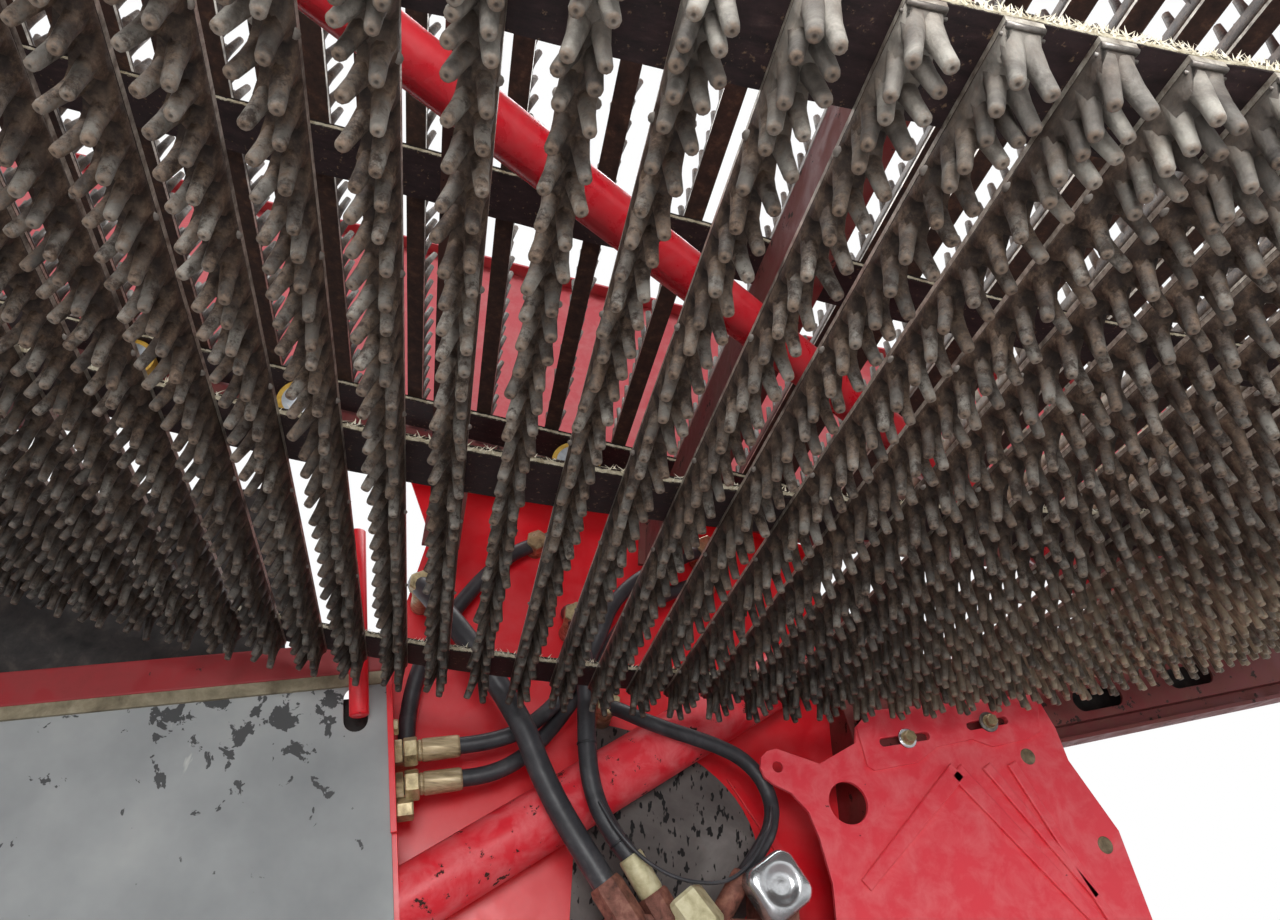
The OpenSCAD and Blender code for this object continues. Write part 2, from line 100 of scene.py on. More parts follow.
class Tree:
    """A material's nodes, with the few kinds that this scene uses."""

    def __init__(self, name, rough=0.6, metallic=0.0, spec=0.5):
        self.mat = bpy.data.materials.new(name)
        self.mat.use_nodes = True
        self.nt = self.mat.node_tree
        self.shader = self.nt.nodes["Principled BSDF"]
        self.shader.inputs["Roughness"].default_value = rough
        self.shader.inputs["Metallic"].default_value = metallic
        self.shader.inputs["Specular IOR Level"].default_value = spec
        self.coords = self.nt.nodes.new("ShaderNodeTexCoord").outputs["Object"]

    def put(self, socket, value):
        if isinstance(value, bpy.types.NodeSocket):
            self.nt.links.new(value, socket)
        elif value is not None:
            socket.default_value = value

    def node(self, kind, output, inputs, **settings):
        """A new node's output; inputs gives values or sockets by name or number."""
        n = self.nt.nodes.new("ShaderNode" + kind)
        for key, value in settings.items():
            setattr(n, key, value)
        for key, value in inputs.items():
            self.put(n.inputs[key], value)
        return n.outputs[output]

    def noise(self, scale, detail=4.0, rough=0.6, stretch=None, distortion=0.0):
        coords = self.coords
        if stretch:
            coords = self.node("Mapping", "Vector", {"Vector": coords, "Scale": stretch})
        return self.node("TexNoise", "Fac", {"Vector": coords, "Scale": scale, "Detail": detail,
                                             "Roughness": rough, "Distortion": distortion})

    def axis(self, name):
        return self.node("SeparateXYZ", name, {"Vector": self.coords})

    def attribute(self, name):
        return self.node("Attribute", "Fac", {}, attribute_name=name)

    def math(self, op, a, b=None):
        return self.node("Math", 0, {0: a, 1: b}, operation=op)

    def mul(self, a, b):
        return self.math("MULTIPLY", a, b)

    def add(self, a, b):
        return self.math("ADD", a, b)

    def span(self, value, low, high, to_low=0.0, to_high=1.0):
        """value between low and high, spread over to_low to to_high and held there."""
        return self.node("MapRange", 0, dict(enumerate((value, low, high, to_low, to_high))), clamp=True)

    def mix(self, share, a, b):
        return self.node("Mix", 2, {0: share, 6: a, 7: b}, data_type="RGBA")

    def ramp(self, value, stops):
        n = self.nt.nodes.new("ShaderNodeValToRGB")
        self.put(n.inputs[0], value)
        while len(n.color_ramp.elements) < len(stops):
            n.color_ramp.elements.new(0.5)
        for e, (at, colour) in zip(n.color_ramp.elements, stops):
            e.position = at
            e.color = colour
        return n.outputs[0]

    def colour(self, value):
        self.put(self.shader.inputs["Base Color"], value)

    def rough(self, value):
        self.put(self.shader.inputs["Roughness"], value)

    def metal(self, value):
        self.put(self.shader.inputs["Metallic"], value)

    def bump(self, height, depth, strength):
        normal = self.node("Bump", "Normal", {"Strength": strength, "Distance": depth, "Height": height})
        self.put(self.shader.inputs["Normal"], normal)


def darker(colour, share):
    return (*(c * share for c in colour[:3]), 1)


def paint(name, colour, dusty, rust, dust, chips, rough):
    """Painted metal: flow in the coat, a veil of dust, and chips down to rust."""
    t = Tree(name, rough)
    cloud = t.noise(5, 5, 0.55)
    fine = t.noise(90, 3, 0.6)
    grime = t.noise(22, 6, 0.65, distortion=0.4)
    base = t.mix(t.span(cloud, 0.35, 0.7), colour, darker(colour, 0.92))
    veil = t.mul(t.span(grime, 0.42, 0.72), dust)
    base = t.mix(veil, base, dusty)
    chip_at = t.span(t.noise(38, 8, 0.7), chips, chips + 0.02)
    base = t.mix(chip_at, base, t.ramp(fine, [(0.3, rust), (0.7, darker(rust, 0.45))]))
    t.colour(base)
    t.rough(t.math("MAXIMUM", t.span(veil, 0, 0.4, rough, 0.75), t.mul(chip_at, 0.85)))
    t.bump(t.math("SUBTRACT", t.mul(fine, 0.15), t.mul(chip_at, 0.5)), 0.0006, 0.6)
    return t.mat


def finger_rubber(name):
    """Dusty moulded rubber: worn pale along the shafts, brown soil and painted shade at the roots, painted
    shade past the near rows, in the pits and in the end dimples, wet and darkened by painted shade at the far
    side.
    """
    t = Tree(name, 0.6, spec=0.35)
    along = t.attribute("along")
    tone = t.attribute("tone")
    blotch = t.noise(28, 5, 0.65, distortion=0.6)
    fine = t.noise(260, 4, 0.7)
    grey = t.ramp(t.add(t.mul(blotch, 0.75), t.mul(tone, 0.25)),
                  [(0.25, rgb(50, 46, 43)), (0.46, rgb(112, 108, 102)), (0.7, rgb(176, 172, 162))])
    # Soil at the roots; its dark tones also stand in for painted shade round the roots
    root_soil_and_shade = t.ramp(t.noise(70, 5, 0.7),
                   [(0.3, rgb(36, 27, 23)), (0.5, rgb(84, 65, 53)), (0.74, rgb(142, 120, 100))])
    root_soil_and_shade_share = t.span(t.add(along, t.mul(blotch, 0.7)), 0.62, 1.12, 0.95, 0.05)
    # The ends that hang at the near side are clean down to their roots and take no painted shade
    soil_and_shade_past_near_rows = t.span(t.add(t.axis("Y"), t.mul(blotch, 0.1)), -0.49, -0.39, 0.3, 1.0)
    body = t.mix(t.mul(root_soil_and_shade_share, soil_and_shade_past_near_rows), grey, root_soil_and_shade)
    # Past them lies dried dirt in blotches, and every tone is darkened as painted shade cast by the rows in
    # front
    muddy = t.span(soil_and_shade_past_near_rows, 0.4, 1.0, 0.1, 1.0)
    pale_mud = t.span(t.noise(38, 8, 0.75), 0.46, 0.6, 0.0, 0.8)
    body = t.mix(t.mul(pale_mud, muddy), body,
                 t.ramp(fine, [(0.3, rgb(92, 72, 58)), (0.7, rgb(158, 134, 112))]))
    dark_mud = t.span(t.noise(66, 8, 0.75), 0.48, 0.6, 0.0, 0.9)
    body = t.mix(t.mul(dark_mud, muddy), body,
                 t.ramp(fine, [(0.3, rgb(34, 26, 22)), (0.7, rgb(74, 57, 46))]))
    # Painted shade: the rows past the near ones are darkened
    body = t.mix(t.span(soil_and_shade_past_near_rows, 0.3, 1.0, 0.0, 0.22), body, rgb(44, 36, 32))
    # The attribute along falls below 0 in the pits between the fingers, which are darkened there as painted
    # shade
    body = t.mix(t.span(along, -0.25, -0.95, 0.0, 0.85), body, rgb(26, 20, 18))
    # A pale worn ring round the end, and painted shade in the dimple inside it
    ring = t.mul(t.span(along, 0.93, 0.99), t.span(fine, 0.35, 0.6, 0.1, 0.7))
    body = t.mix(ring, body, rgb(128, 108, 90))
    body = t.mix(t.span(along, 1.03, 1.14, 0.0, 0.75), body, rgb(40, 32, 28))
    # Darker towards the far side: partly wet rubber, which also lowers the roughness, partly painted shade
    # far into the web
    damp_and_shade = t.mul(t.span(t.add(t.axis("Y"), t.mul(t.noise(9, 4), 0.5)), 0.12, 0.62),
                  t.span(blotch, 0.3, 0.62, 1.0, 0.45))
    body = t.mix(t.mul(damp_and_shade, 0.72), body, rgb(24, 21, 20))
    # Dry pale clay at the far end of the web
    clay = t.mul(t.span(t.axis("X"), 2.3, 2.8), t.span(t.noise(17, 5, 0.7), 0.42, 0.6, 0.1, 0.85))
    body = t.mix(t.mul(clay, t.span(t.axis("Y"), -0.1, 0.2)), body, rgb(178, 160, 134))
    t.colour(body)
    t.rough(t.span(damp_and_shade, 0.2, 1.0, 0.68, 0.3))
    t.bump(t.add(t.mul(fine, 0.5), t.mul(blotch, 0.5)), 0.0016, 0.9)
    return t.mat


def strip_steel(name):
    """Rusty steel flat with edges rubbed bright."""
    t = Tree(name, 0.55)
    rust = t.ramp(t.noise(60, 6, 0.7),
                  [(0.3, rgb(34, 23, 19)), (0.55, rgb(66, 44, 34)), (0.8, rgb(112, 80, 60))])
    rubbed = t.ramp(t.noise(120, 5, 0.65),
                    [(0.3, rgb(108, 94, 82)), (0.55, rgb(186, 178, 164)), (0.75, rgb(228, 222, 210))])
    edge = t.attribute("edge")
    share = t.mul(t.span(edge, 0.5, 0.9), t.span(t.noise(14, 4, 0.6), 0.34, 0.5, 0.15, 1.0))
    t.colour(t.mix(share, rust, rubbed))
    t.rough(t.span(share, 0, 1, 0.8, 0.38))
    t.metal(t.span(share, 0, 1, 0.05, 0.35))
    t.bump(t.noise(300, 3, 0.6), 0.0004, 0.6)
    return t.mat


def belt_rubber(name):
    t = Tree(name, 0.62, spec=0.3)
    grain = t.noise(40, 6, 0.7, stretch=(1, 3, 1))
    base = t.ramp(grain, [(0.3, rgb(26, 19, 20)), (0.6, rgb(56, 41, 42)), (0.85, rgb(92, 74, 70))])
    t.colour(t.mix(t.span(t.noise(160, 3, 0.7), 0.62, 0.72), base, rgb(120, 98, 78)))
    t.rough(t.span(grain, 0.3, 0.8, 0.5, 0.78))
    t.bump(t.noise(350, 3, 0.6), 0.0004, 0.6)
    return t.mat


def belt_ply(name):
    """The cut side of a belt: pale cords in dark rubber, frayed and dusty."""
    t = Tree(name, 0.9, spec=0.2)
    layers = t.attribute("ply")
    fray = t.noise(150, 6, 0.75, stretch=(1, 1, 3))
    wave = t.math("SINE", t.add(t.mul(layers, 9.0), t.mul(fray, 7.0)))
    pale = t.ramp(t.noise(90, 5, 0.7),
                  [(0.3, rgb(150, 136, 108)), (0.55, rgb(208, 198, 172)), (0.8, rgb(240, 236, 222))])
    share = t.mul(t.span(wave, -0.75, -0.3), t.span(layers, 0.86, 0.74))
    t.colour(t.mix(share, rgb(44, 34, 32), pale))
    t.bump(t.add(fray, wave), 0.0015, 0.8)
    return t.mat


def plain(name, dark, mid, light, scale, rough, metallic=0.0, stretch=None, low=0.3, high=0.75):
    """A material with patches of two other tones and a fine grain."""
    t = Tree(name, rough, metallic)
    grain = t.noise(scale, 6, 0.65, stretch=stretch, distortion=0.3)
    t.colour(t.ramp(grain, [(low, dark), ((low + high) / 2, mid), (high, light)]))
    t.rough(t.span(grain, low, high, min(1, rough + 0.12), max(0.05, rough - 0.12)))
    t.bump(t.noise(scale * 7, 4, 0.6), 0.0004, 0.7)
    return t.mat


def speckled_plate(name):
    """Dark grey sheet with short black upright flecks."""
    t = Tree(name, 0.7, spec=0.3)
    cloud = t.noise(7, 5, 0.6, distortion=0.5)
    base = t.ramp(cloud, [(0.3, rgb(78, 72, 70)), (0.55, rgb(108, 102, 99)), (0.8, rgb(142, 137, 133))])
    fleck = t.span(t.noise(75, 2, 0.4, stretch=(1.6, 1.6, 0.7)), 0.61, 0.65)
    t.colour(t.mix(fleck, base, rgb(22, 20, 20)))
    t.bump(t.noise(220, 3, 0.6), 0.0005, 0.6)
    return t.mat


def stained_sheet(name):
    """Dull grey sheet with pale scrapes, and black splashes below its upper edge."""
    t = Tree(name, 0.55, 0.05)
    cloud = t.noise(4, 5, 0.55)
    base = t.ramp(cloud, [(0.3, rgb(128, 131, 132)), (0.5, rgb(150, 153, 153)), (0.7, rgb(168, 170, 168))])
    scrape = t.mul(t.span(t.noise(12, 5, 0.7, stretch=(1, 1, 0.3), distortion=0.8), 0.64, 0.7), 0.6)
    base = t.mix(scrape, base, rgb(206, 206, 200))
    there = t.mul(t.span(t.axis("X"), 1.1, 1.4), t.span(t.axis("X"), 1.64, 1.54))
    there = t.mul(there, t.span(t.axis("Z"), -0.74, -0.56, 0.0, 0.13))
    splash = t.span(t.add(t.noise(30, 4, 0.6, distortion=0.4), there), 0.67, 0.69)
    t.colour(t.mix(t.mul(splash, 0.9), base, rgb(34, 34, 36)))
    t.bump(t.noise(60, 4, 0.6), 0.0003, 0.5)
    return t.mat


RUST = (92, 48, 34)
# Painted parts: name, paint, dust on it, rust in its chips, share of dust, least noise of a chip,
# roughness
PAINTS = {
    "red": ("red_paint", (232, 26, 40), (240, 120, 124), RUST, 0.14, 0.69, 0.3),
    "red_worn": ("red_paint_worn", (234, 44, 58), (248, 160, 162), (66, 40, 30), 0.4, 0.61, 0.36),
    "red_pink": ("red_paint_pink", (242, 62, 76), (250, 150, 152), (96, 44, 34), 0.42, 0.7, 0.42),
    # The sill's red, darkened as painted shade
    "sill_red_in_painted_shade": ("red_paint_shade", (150, 26, 32), (120, 60, 56), (60, 34, 28), 0.4, 0.66, 0.4),
    "red_dusty": ("red_paint_dusty", (206, 78, 86), (216, 148, 148), (120, 62, 48), 0.55, 0.7, 0.55),
    "tube_red": ("tube_red", (186, 20, 34), (214, 120, 120), RUST, 0.2, 0.7, 0.25),
    "dark_red": ("dark_red", (112, 34, 34), (120, 84, 74), (58, 36, 28), 0.6, 0.6, 0.45),
    "brown": ("brown_beam", (74, 40, 34), (104, 80, 66), (40, 26, 22), 0.6, 0.55, 0.6),
}
# Other materials: name, dark, middle and light tone, noise scale, roughness, metallic
PLAINS = {
    "yellow": ("roller_yellow", (150, 108, 30), (206, 164, 60), (226, 192, 96), 60, 0.55),
    "disc": ("roller_disc", (140, 146, 152), (176, 182, 188), (200, 204, 208), 30, 0.35, 0.5),
    "steel": ("worn_steel", (70, 62, 56), (120, 114, 108), (176, 172, 166), 50, 0.42, 0.6),
    "chrome": ("rod_chrome", (190, 192, 194), (215, 216, 218), (230, 231, 232), 20, 0.12, 0.9),
    "wheel": ("wheel_rubber", (22, 20, 20), (40, 36, 34), (70, 62, 56), 30, 0.7),
    "hose": ("hose_rubber", (38, 38, 42), (58, 58, 62), (92, 90, 90), 26, 0.42),
    "zinc": ("zinc_plate", (112, 96, 70), (184, 168, 128), (222, 210, 178), 45, 0.36, 0.45),
    "crimp": ("crimp_sleeve", (120, 102, 76), (186, 166, 130), (216, 202, 172), 60, 0.42, 0.35),
    "rusty_hex": ("rusty_hexagon", (78, 48, 38), (134, 84, 70), (170, 120, 100), 50, 0.7),
    "cream": ("cream_crimp", (168, 158, 118), (206, 198, 158), (228, 222, 190), 40, 0.5, 0.1),
    "cap": ("bright_cap", (150, 152, 154), (196, 198, 200), (226, 228, 230), 16, 0.2, 0.8),
    "pink_band": ("pink_band", (196, 70, 80), (232, 104, 112), (244, 140, 146), 60, 0.5),
    "blue_band": ("blue_band", (56, 66, 82), (84, 98, 118), (110, 124, 142), 60, 0.5),
    "tie": ("cable_tie", (22, 22, 24), (36, 36, 40), (56, 56, 60), 60, 0.45),
    "thread": ("belt_thread", (186, 174, 146), (226, 218, 196), (248, 246, 236), 90, 0.9),
    "button": ("rubber_button", (96, 88, 80), (140, 132, 124), (176, 170, 162), 60, 0.6),
    "rivet": ("rusty_rivet", (92, 48, 32), (146, 84, 56), (186, 130, 96), 70, 0.6),
    "olive": ("olive_plug", (70, 60, 44), (126, 110, 84), (160, 142, 110), 50, 0.6),
    "beige": ("sill_beige", (96, 86, 66), (132, 122, 98), (164, 154, 130), 30, 0.6),
}
PLAIN_EXTRAS = {"hose": dict(low=0.32, high=0.8), "crimp": dict(stretch=(0.25, 3, 3))}
MATERIALS = {
    "finger": finger_rubber("finger_rubber"),
    "flat": strip_steel("strip_steel"),
    "belt": belt_rubber("belt_rubber"),
    "ply": belt_ply("belt_ply"),
    "sheet": stained_sheet("galvanised_sheet"),
    "speckled": speckled_plate("speckled_plate"),
}
for key, (name, colour, dusty, rust, *shares) in PAINTS.items():
    MATERIALS[key] = paint(name, rgb(*colour), rgb(*dusty), rgb(*rust), *shares)
for key, (name, dark, mid, light, *rest) in PLAINS.items():
    MATERIALS[key] = plain(name, rgb(*dark), rgb(*mid), rgb(*light), *rest, **PLAIN_EXTRAS.get(key, {}))

# Mesh building


def ring_quads(rings, sides):
    """Quads between rings of vertices that follow each other."""
    k = np.arange(sides)
    nxt = (k + 1) % sides
    quads = np.stack([k, nxt, nxt + sides, k + sides], -1)
    return np.concatenate([quads + i * sides for i in range(rings - 1)])


def ring_fan(start, middle, sides):
    """Triangles from a ring, whose first vertex is start, to the vertex in its middle."""
    k = np.arange(sides)
    return np.stack([start + k, start + (k + 1) % sides, np.full(sides, middle)], -1)


def round_angles(sides):
    return np.arange(sides) * 2 * math.pi / sides


def normed(v):
    return v / np.linalg.norm(v, axis=-1, keepdims=True)


def mesh_object(name, verts, faces, materials, body, replaces, smooth, floats, mat_index):
    """faces is a list of arrays, each of faces with one number of corners. Numbers are in metres."""
    mesh = bpy.data.meshes.new(name)
    mesh.vertices.add(len(verts))
    mesh.vertices.foreach_set("co", np.asarray(verts, np.float32).ravel())
    faces = [np.asarray(f, np.int32) for f in faces if len(f)]
    corners = np.concatenate([f.ravel() for f in faces])
    sizes = np.concatenate([np.full(len(f), f.shape[1], np.int32) for f in faces])
    starts = np.concatenate([[0], np.cumsum(sizes)[:-1]]).astype(np.int32)
    mesh.loops.add(len(corners))
    mesh.loops.foreach_set("vertex_index", corners)
    mesh.polygons.add(len(sizes))
    mesh.polygons.foreach_set("loop_start", starts)
    mesh.polygons.foreach_set("loop_total", sizes)
    for key in materials:
        mesh.materials.append(MATERIALS[key])
    mesh.polygons.foreach_set("material_index", np.asarray(mat_index, np.int32))
    mesh.update(calc_edges=True)
    mesh.validate()
    mesh.polygons.foreach_set("use_smooth", np.full(len(mesh.polygons), smooth))
    for key, values in floats.items():
        mesh.attributes.new(key, "FLOAT", "POINT").data.foreach_set("value", np.asarray(values, np.float32))
    o = linked(name, mesh)
    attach(o, body)
    if replaces:
        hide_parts(*replaces)
    return o


class Pile:
    """Gathers parts of one piece: vertices, quads and triangles, in mm."""

    def __init__(self):
        self.v, self.q, self.t, self.qm, self.tm, self.f = [], [], [], [], [], {}
        self.n = 0

    def add(self, verts, quads=(), tris=(), mat=0, **floats):
        verts = np.asarray(verts, float).reshape(-1, 3)
        self.v.append(verts)
        for faces, corners, kept, mats in ((quads, 4, self.q, self.qm), (tris, 3, self.t, self.tm)):
            if len(faces):
                kept.append(np.asarray(faces, int).reshape(-1, corners) + self.n)
                mats.append(np.full(len(kept[-1]), mat))
        for k, value in floats.items():
            self.f.setdefault(k, []).append(np.broadcast_to(np.asarray(value, float), (len(verts),)))
        self.n += len(verts)

    def piece(self, name, materials, body, slot, replaces=(), smooth=True):
        faces = [np.concatenate(f) for f in (self.q, self.t) if f]
        floats = {k: np.concatenate(v) for k, v in self.f.items()}
        return mesh_object(name, np.concatenate(self.v) * MM, faces, materials, body, replaces, smooth,
                           floats, np.concatenate(self.qm + self.tm))


# The web's loop, as in the part's source, in mm

WEB_HALF, BELT_W, BELT_T, BELT_Y = 556.0, 75.0, 10.0, 518.0
STRIP_COUNT, STRIP_W, STRIP_T, SEAT = 114, 25.0, 5.0, 0.2
FINGER_H = 53.0
DRIVE, DRIVE_R = np.array([320.0, 0.0]), 110.0
IDLER, IDLER_R = np.array([3436.0, -123.0]), 60.0
SAG_R, SLOPE = 3900.0, math.radians(6.6)
# Share of the pitch from the loop's start to the first strip
STRIP_PHASE = 0.5
QUARTER = math.pi / 2


def unit(a):
    return np.array([math.cos(a), math.sin(a)])


def across(v):
    """A plane vector turned left by a quarter."""
    return np.array([-v[1], v[0]])


def heading(v):
    return math.atan2(v[1], v[0])


def turn(a, b):
    return (b - a + 4 * math.pi) % (2 * math.pi)


def meet(a, ra, b, rb):
    d = np.linalg.norm(b - a)
    e = (b - a) / d
    along = (ra * ra - rb * rb + d * d) / (2 * d)
    return a + e * along + math.sqrt(ra * ra - along * along) * across(e)


RETURN_C = meet(DRIVE, SAG_R - DRIVE_R, IDLER, SAG_R - IDLER_R)
RUN_DIR, RUN_UP = unit(-SLOPE), unit(QUARTER - SLOPE)
RUN_START = DRIVE + DRIVE_R * RUN_UP
TO_SLACK = DRIVE + (DRIVE_R + SAG_R) * RUN_UP - IDLER
RUN_LEN = -TO_SLACK @ RUN_DIR - math.sqrt((TO_SLACK @ RUN_DIR) ** 2 - TO_SLACK @ TO_SLACK
                                          + (SAG_R + IDLER_R) ** 2)
SLACK_C = RUN_START + RUN_LEN * RUN_DIR + SAG_R * RUN_UP
SLACK_FROM = -SLOPE - QUARTER
SLACK_TO = heading(IDLER - SLACK_C)
IDLER_FROM = SLACK_TO + math.pi
IDLER_TO = heading(IDLER - RETURN_C)
DRIVE_FROM = heading(DRIVE - RETURN_C)
DRIVE_TO = QUARTER - SLOPE
MID = BELT_T / 2
STRETCH = [
    RUN_LEN,
    (SAG_R - MID) * turn(SLACK_FROM, SLACK_TO),
    (IDLER_R + MID) * turn(IDLER_TO, IDLER_FROM),
    (SAG_R + MID) * turn(DRIVE_FROM, IDLER_TO),
    (DRIVE_R + MID) * turn(DRIVE_TO, DRIVE_FROM),
]
# Ends of the stretches along the loop: carrying run, slack arc, idler end, return arc, drive end
ENDS = np.concatenate([[0], np.cumsum(STRETCH)])
RUN, SLACK, IDLER_END, RETURN, DRIVE_END = range(5)
PITCH = ENDS[-1] / STRIP_COUNT


def on_loop(s, off):
    """Point of the loop at the length s, out from the belts' inner faces by off, and its heading outwards."""
    if s < ENDS[SLACK]:
        return RUN_START + s * RUN_DIR + off * RUN_UP, DRIVE_TO
    if s < ENDS[IDLER_END]:
        a = SLACK_FROM + (s - ENDS[SLACK]) / (SAG_R - MID)
        return SLACK_C + (SAG_R - off) * unit(a), a + math.pi
    arcs = ((IDLER_END, IDLER, IDLER_R, IDLER_FROM), (RETURN, RETURN_C, SAG_R, IDLER_TO),
            (DRIVE_END, DRIVE, DRIVE_R, DRIVE_FROM))
    for stretch, centre, radius, start in arcs:
        if s < ENDS[stretch + 1] or stretch == DRIVE_END:
            a = start - (s - ENDS[stretch]) / (radius + MID)
            return centre + (radius + off) * unit(a), a


def strips_on(stretch):
    """Seats of the strips whose middles lie on a stretch of the loop: origin, tangent and outward way."""
    seats = []
    for i in range(STRIP_COUNT):
        s = (i + STRIP_PHASE) * PITCH
        if ENDS[stretch] <= s < ENDS[stretch + 1]:
            at, look = on_loop(s, BELT_T + SEAT)
            seats.append((at, unit(look - QUARTER), unit(look)))
    return seats


def place(seat, p, y, q):
    """A strip's own coordinates to the part's frame: p along the web, y across it, q out of the loop."""
    at, tangent, out = seat
    p, y, q = np.broadcast_arrays(p, y, q)
    return np.stack([at[0] + p * tangent[0] + q * out[0], y, at[1] + p * tangent[1] + q * out[1]], -1)


# Fingers

# Rows of fingers across a strip: the near end has four close pairs, the rest is staggered
NEAR_PAIR_Y = -545.5
NEAR_PAIR_STEP = 17.7
MAIN_STEP = 30.2
MAIN_A_Y = -476.0
MAIN_B_Y = -462.0
# Close pairs, least distance of a row from the web's edge, and the one that the rows are counted with
NEAR_PAIRS, ROW_MARGIN, COUNT_MARGIN = 4, 6, 8
ROOT_P, TIP_P = 4.8, 11.1
ROOT_Q, TIP_Q = 9.0, FINGER_H
# Finger profile: share of the length from root to tip, radius
SHAFT = [(0.0, 7.6), (0.35, 6.5), (0.55, 5.6), (0.93, 4.9), (0.985, 4.2), (1.0, 2.2)]
FAR_SHAFT = [(0.0, 7.0), (0.4, 5.6), (1.0, 4.2)]
# The dimple in a finger's end lies this share of its length under the end; its point takes the second value
# as along, which the rubber darkens as painted shade
DIMPLE, DIMPLE_SHADE_ALONG = 0.025, 1.2
# How far fingers differ: lean along the web and sway across it per length, share of length and of thickness
LEAN, SWAY, SHORTER, THICKER = 0.045, 0.06, 0.02, 0.03
# Each shaft is bowed towards the middle of its strip by a quarter of this
BOW = -3.0


def finger_rows():
    """Places of the fingers along a strip, as rows of (side, y)."""
    near = [NEAR_PAIR_Y + NEAR_PAIR_STEP * k for k in range(NEAR_PAIRS)]
    count = int((WEB_HALF - COUNT_MARGIN - MAIN_A_Y) / MAIN_STEP) + 1
    rows = [(side, y) for y in near for side in (-1, 1)]
    # On the returning run the tangent points to -X, so side 1 is the left row as seen in front
    for side, start in ((1, MAIN_A_Y), (-1, MAIN_B_Y)):
        rows += [(side, start + MAIN_STEP * k) for k in range(count)]
    return np.array([r for r in rows if r[1] < WEB_HALF - ROW_MARGIN])


def add_fingers(pile, strips, rows, sides, shaft):
    """Adds a finger at each row of each strip, each one bent and turned a little by itself."""
    t, r = np.array(shaft).T
    turns = round_angles(sides)[:, None]
    n_f, n_r = len(rows), len(t)
    own = n_r * sides + 1
    base = np.arange(n_f)[:, None, None] * own
    quads = (ring_quads(n_r, sides) + base).reshape(-1, 4)
    tris = (ring_fan((n_r - 1) * sides, n_r * sides, sides) + base).reshape(-1, 3)
    along = np.tile(np.append(np.repeat(t, sides), DIMPLE_SHADE_ALONG), n_f)
    side, y = rows.T
    for seat in strips:
        lean = rng.normal(0, LEAN, n_f)
        sway = rng.normal(0, SWAY, n_f)
        length = 1 - np.abs(rng.normal(0, SHORTER, n_f))
        thick = rng.normal(1, THICKER, n_f)
        root = np.stack([side * ROOT_P, y, np.full(n_f, ROOT_Q)], -1)
        reach = TIP_Q - ROOT_Q
        tip = np.stack([side * TIP_P + lean * reach, y + sway * reach, np.full(n_f, TIP_Q)], -1)
        tip = root + (tip - root) * length[:, None]
        axis = tip - root
        u = normed(np.cross(axis, [0, 1, 0]))
        w = normed(np.cross(axis, u))
        bend = (t * (1 - t))[None, :, None] * (side * BOW)[:, None, None] * np.array([1, 0, 0])
        centre = root[:, None] + axis[:, None] * t[None, :, None] + bend
        spread = (r[None, :] * thick[:, None])[:, :, None, None]
        ring = u[:, None, None] * np.cos(turns) + w[:, None, None] * np.sin(turns)
        pts = centre[:, :, None] + spread * ring
        dimple = (tip - axis * DIMPLE)[:, None]
        pts = np.concatenate([pts.reshape(n_f, -1, 3), dimple], 1).reshape(-1, 3)
        tone = np.repeat(rng.random(n_f), own)
        pile.add(place(seat, *pts.T), quads, tris, along=along, tone=tone)


def sweep(pile, seat, sections, ys, **floats):
    """Sections in (p, q), one for each place along y, joined along a strip and closed at both ends."""
    m = sections.shape[1]
    last = (len(ys) - 1) * m
    ends = []
    for j in range(1, m - 1):
        ends += [(0, j, j + 1), (last, last + j + 1, last + j)]
    pile.add(place(seat, sections[:, :, 0].ravel(), np.repeat(ys, m), sections[:, :, 1].ravel()),
             ring_quads(len(ys), m)[:, [0, 3, 2, 1]], ends, **floats)


# Rubber base of the fingers: its height at a finger and between two, how far from a finger it falls,
# the share of its height at the near end, how far it goes past the first row, and how far its far end
# lies from the web's edge
SADDLE_HIGH, SADDLE_LOW, SADDLE_FALL, SADDLE_END = 27.0, 11.0, 9.0, 0.35
SADDLE_PAST, SADDLE_SHORT = 8, 3


def saddle_sections(ys, rows):
    """The base stands up round each finger and falls between them.

    Gives the sections and, for a painted shade in the pits, how far down between the fingers each of their
    points lies.
    """
    out, pit_shade = [], []
    for y in ys:
        left, right = (np.exp(-((rows[rows[:, 0] == side][:, 1] - y) / SADDLE_FALL) ** 2).max()
                       for side in (-1, 1))
        most = max(left, right)
        # The near end is rounded down to the flat
        end = SADDLE_END + (1 - SADDLE_END) * min(1.0, (y - ys[0]) / SADDLE_FALL)
        a, b, middle = (end * (SADDLE_LOW + (SADDLE_HIGH - SADDLE_LOW) * share)
                        for share in (left, right, 0.8 * (0.5 * (left + right) + 0.2 * most)))
        out.append([(-12.0, 4.6), (-12.8, 7.0), (-9.2 - 2.4 * left, a), (-4.0, a - 0.4), (0, middle),
                    (4.0, b - 0.4), (9.2 + 2.4 * right, b), (12.8, 7.0), (12.0, 4.6)])
        pit_shade.append([0.3, 0.3, 1 - left, 1 - left, 1 - 0.7 * most, 1 - right, 1 - right, 0.3, 0.3])
    return np.array(out, float), np.array(pit_shade)


# Ends of a flat's four sides in (p, q), and whether the side is a worn edge. They are drawn apart, so
# that the worn edges have their own vertices.
HALF_STRIP = STRIP_W / 2
FLAT_SIDES = [((-HALF_STRIP, -HALF_STRIP), (0, STRIP_T), 1.0), ((HALF_STRIP, HALF_STRIP), (STRIP_T, 0), 1.0),
              ((-HALF_STRIP, HALF_STRIP), (STRIP_T, STRIP_T), 0.0), ((HALF_STRIP, -HALF_STRIP), (0, 0), 0.0)]
# Places along a flat, and how much it wanders from one to the next
FLAT_STEPS, FLAT_WANDER = 10, 0.12


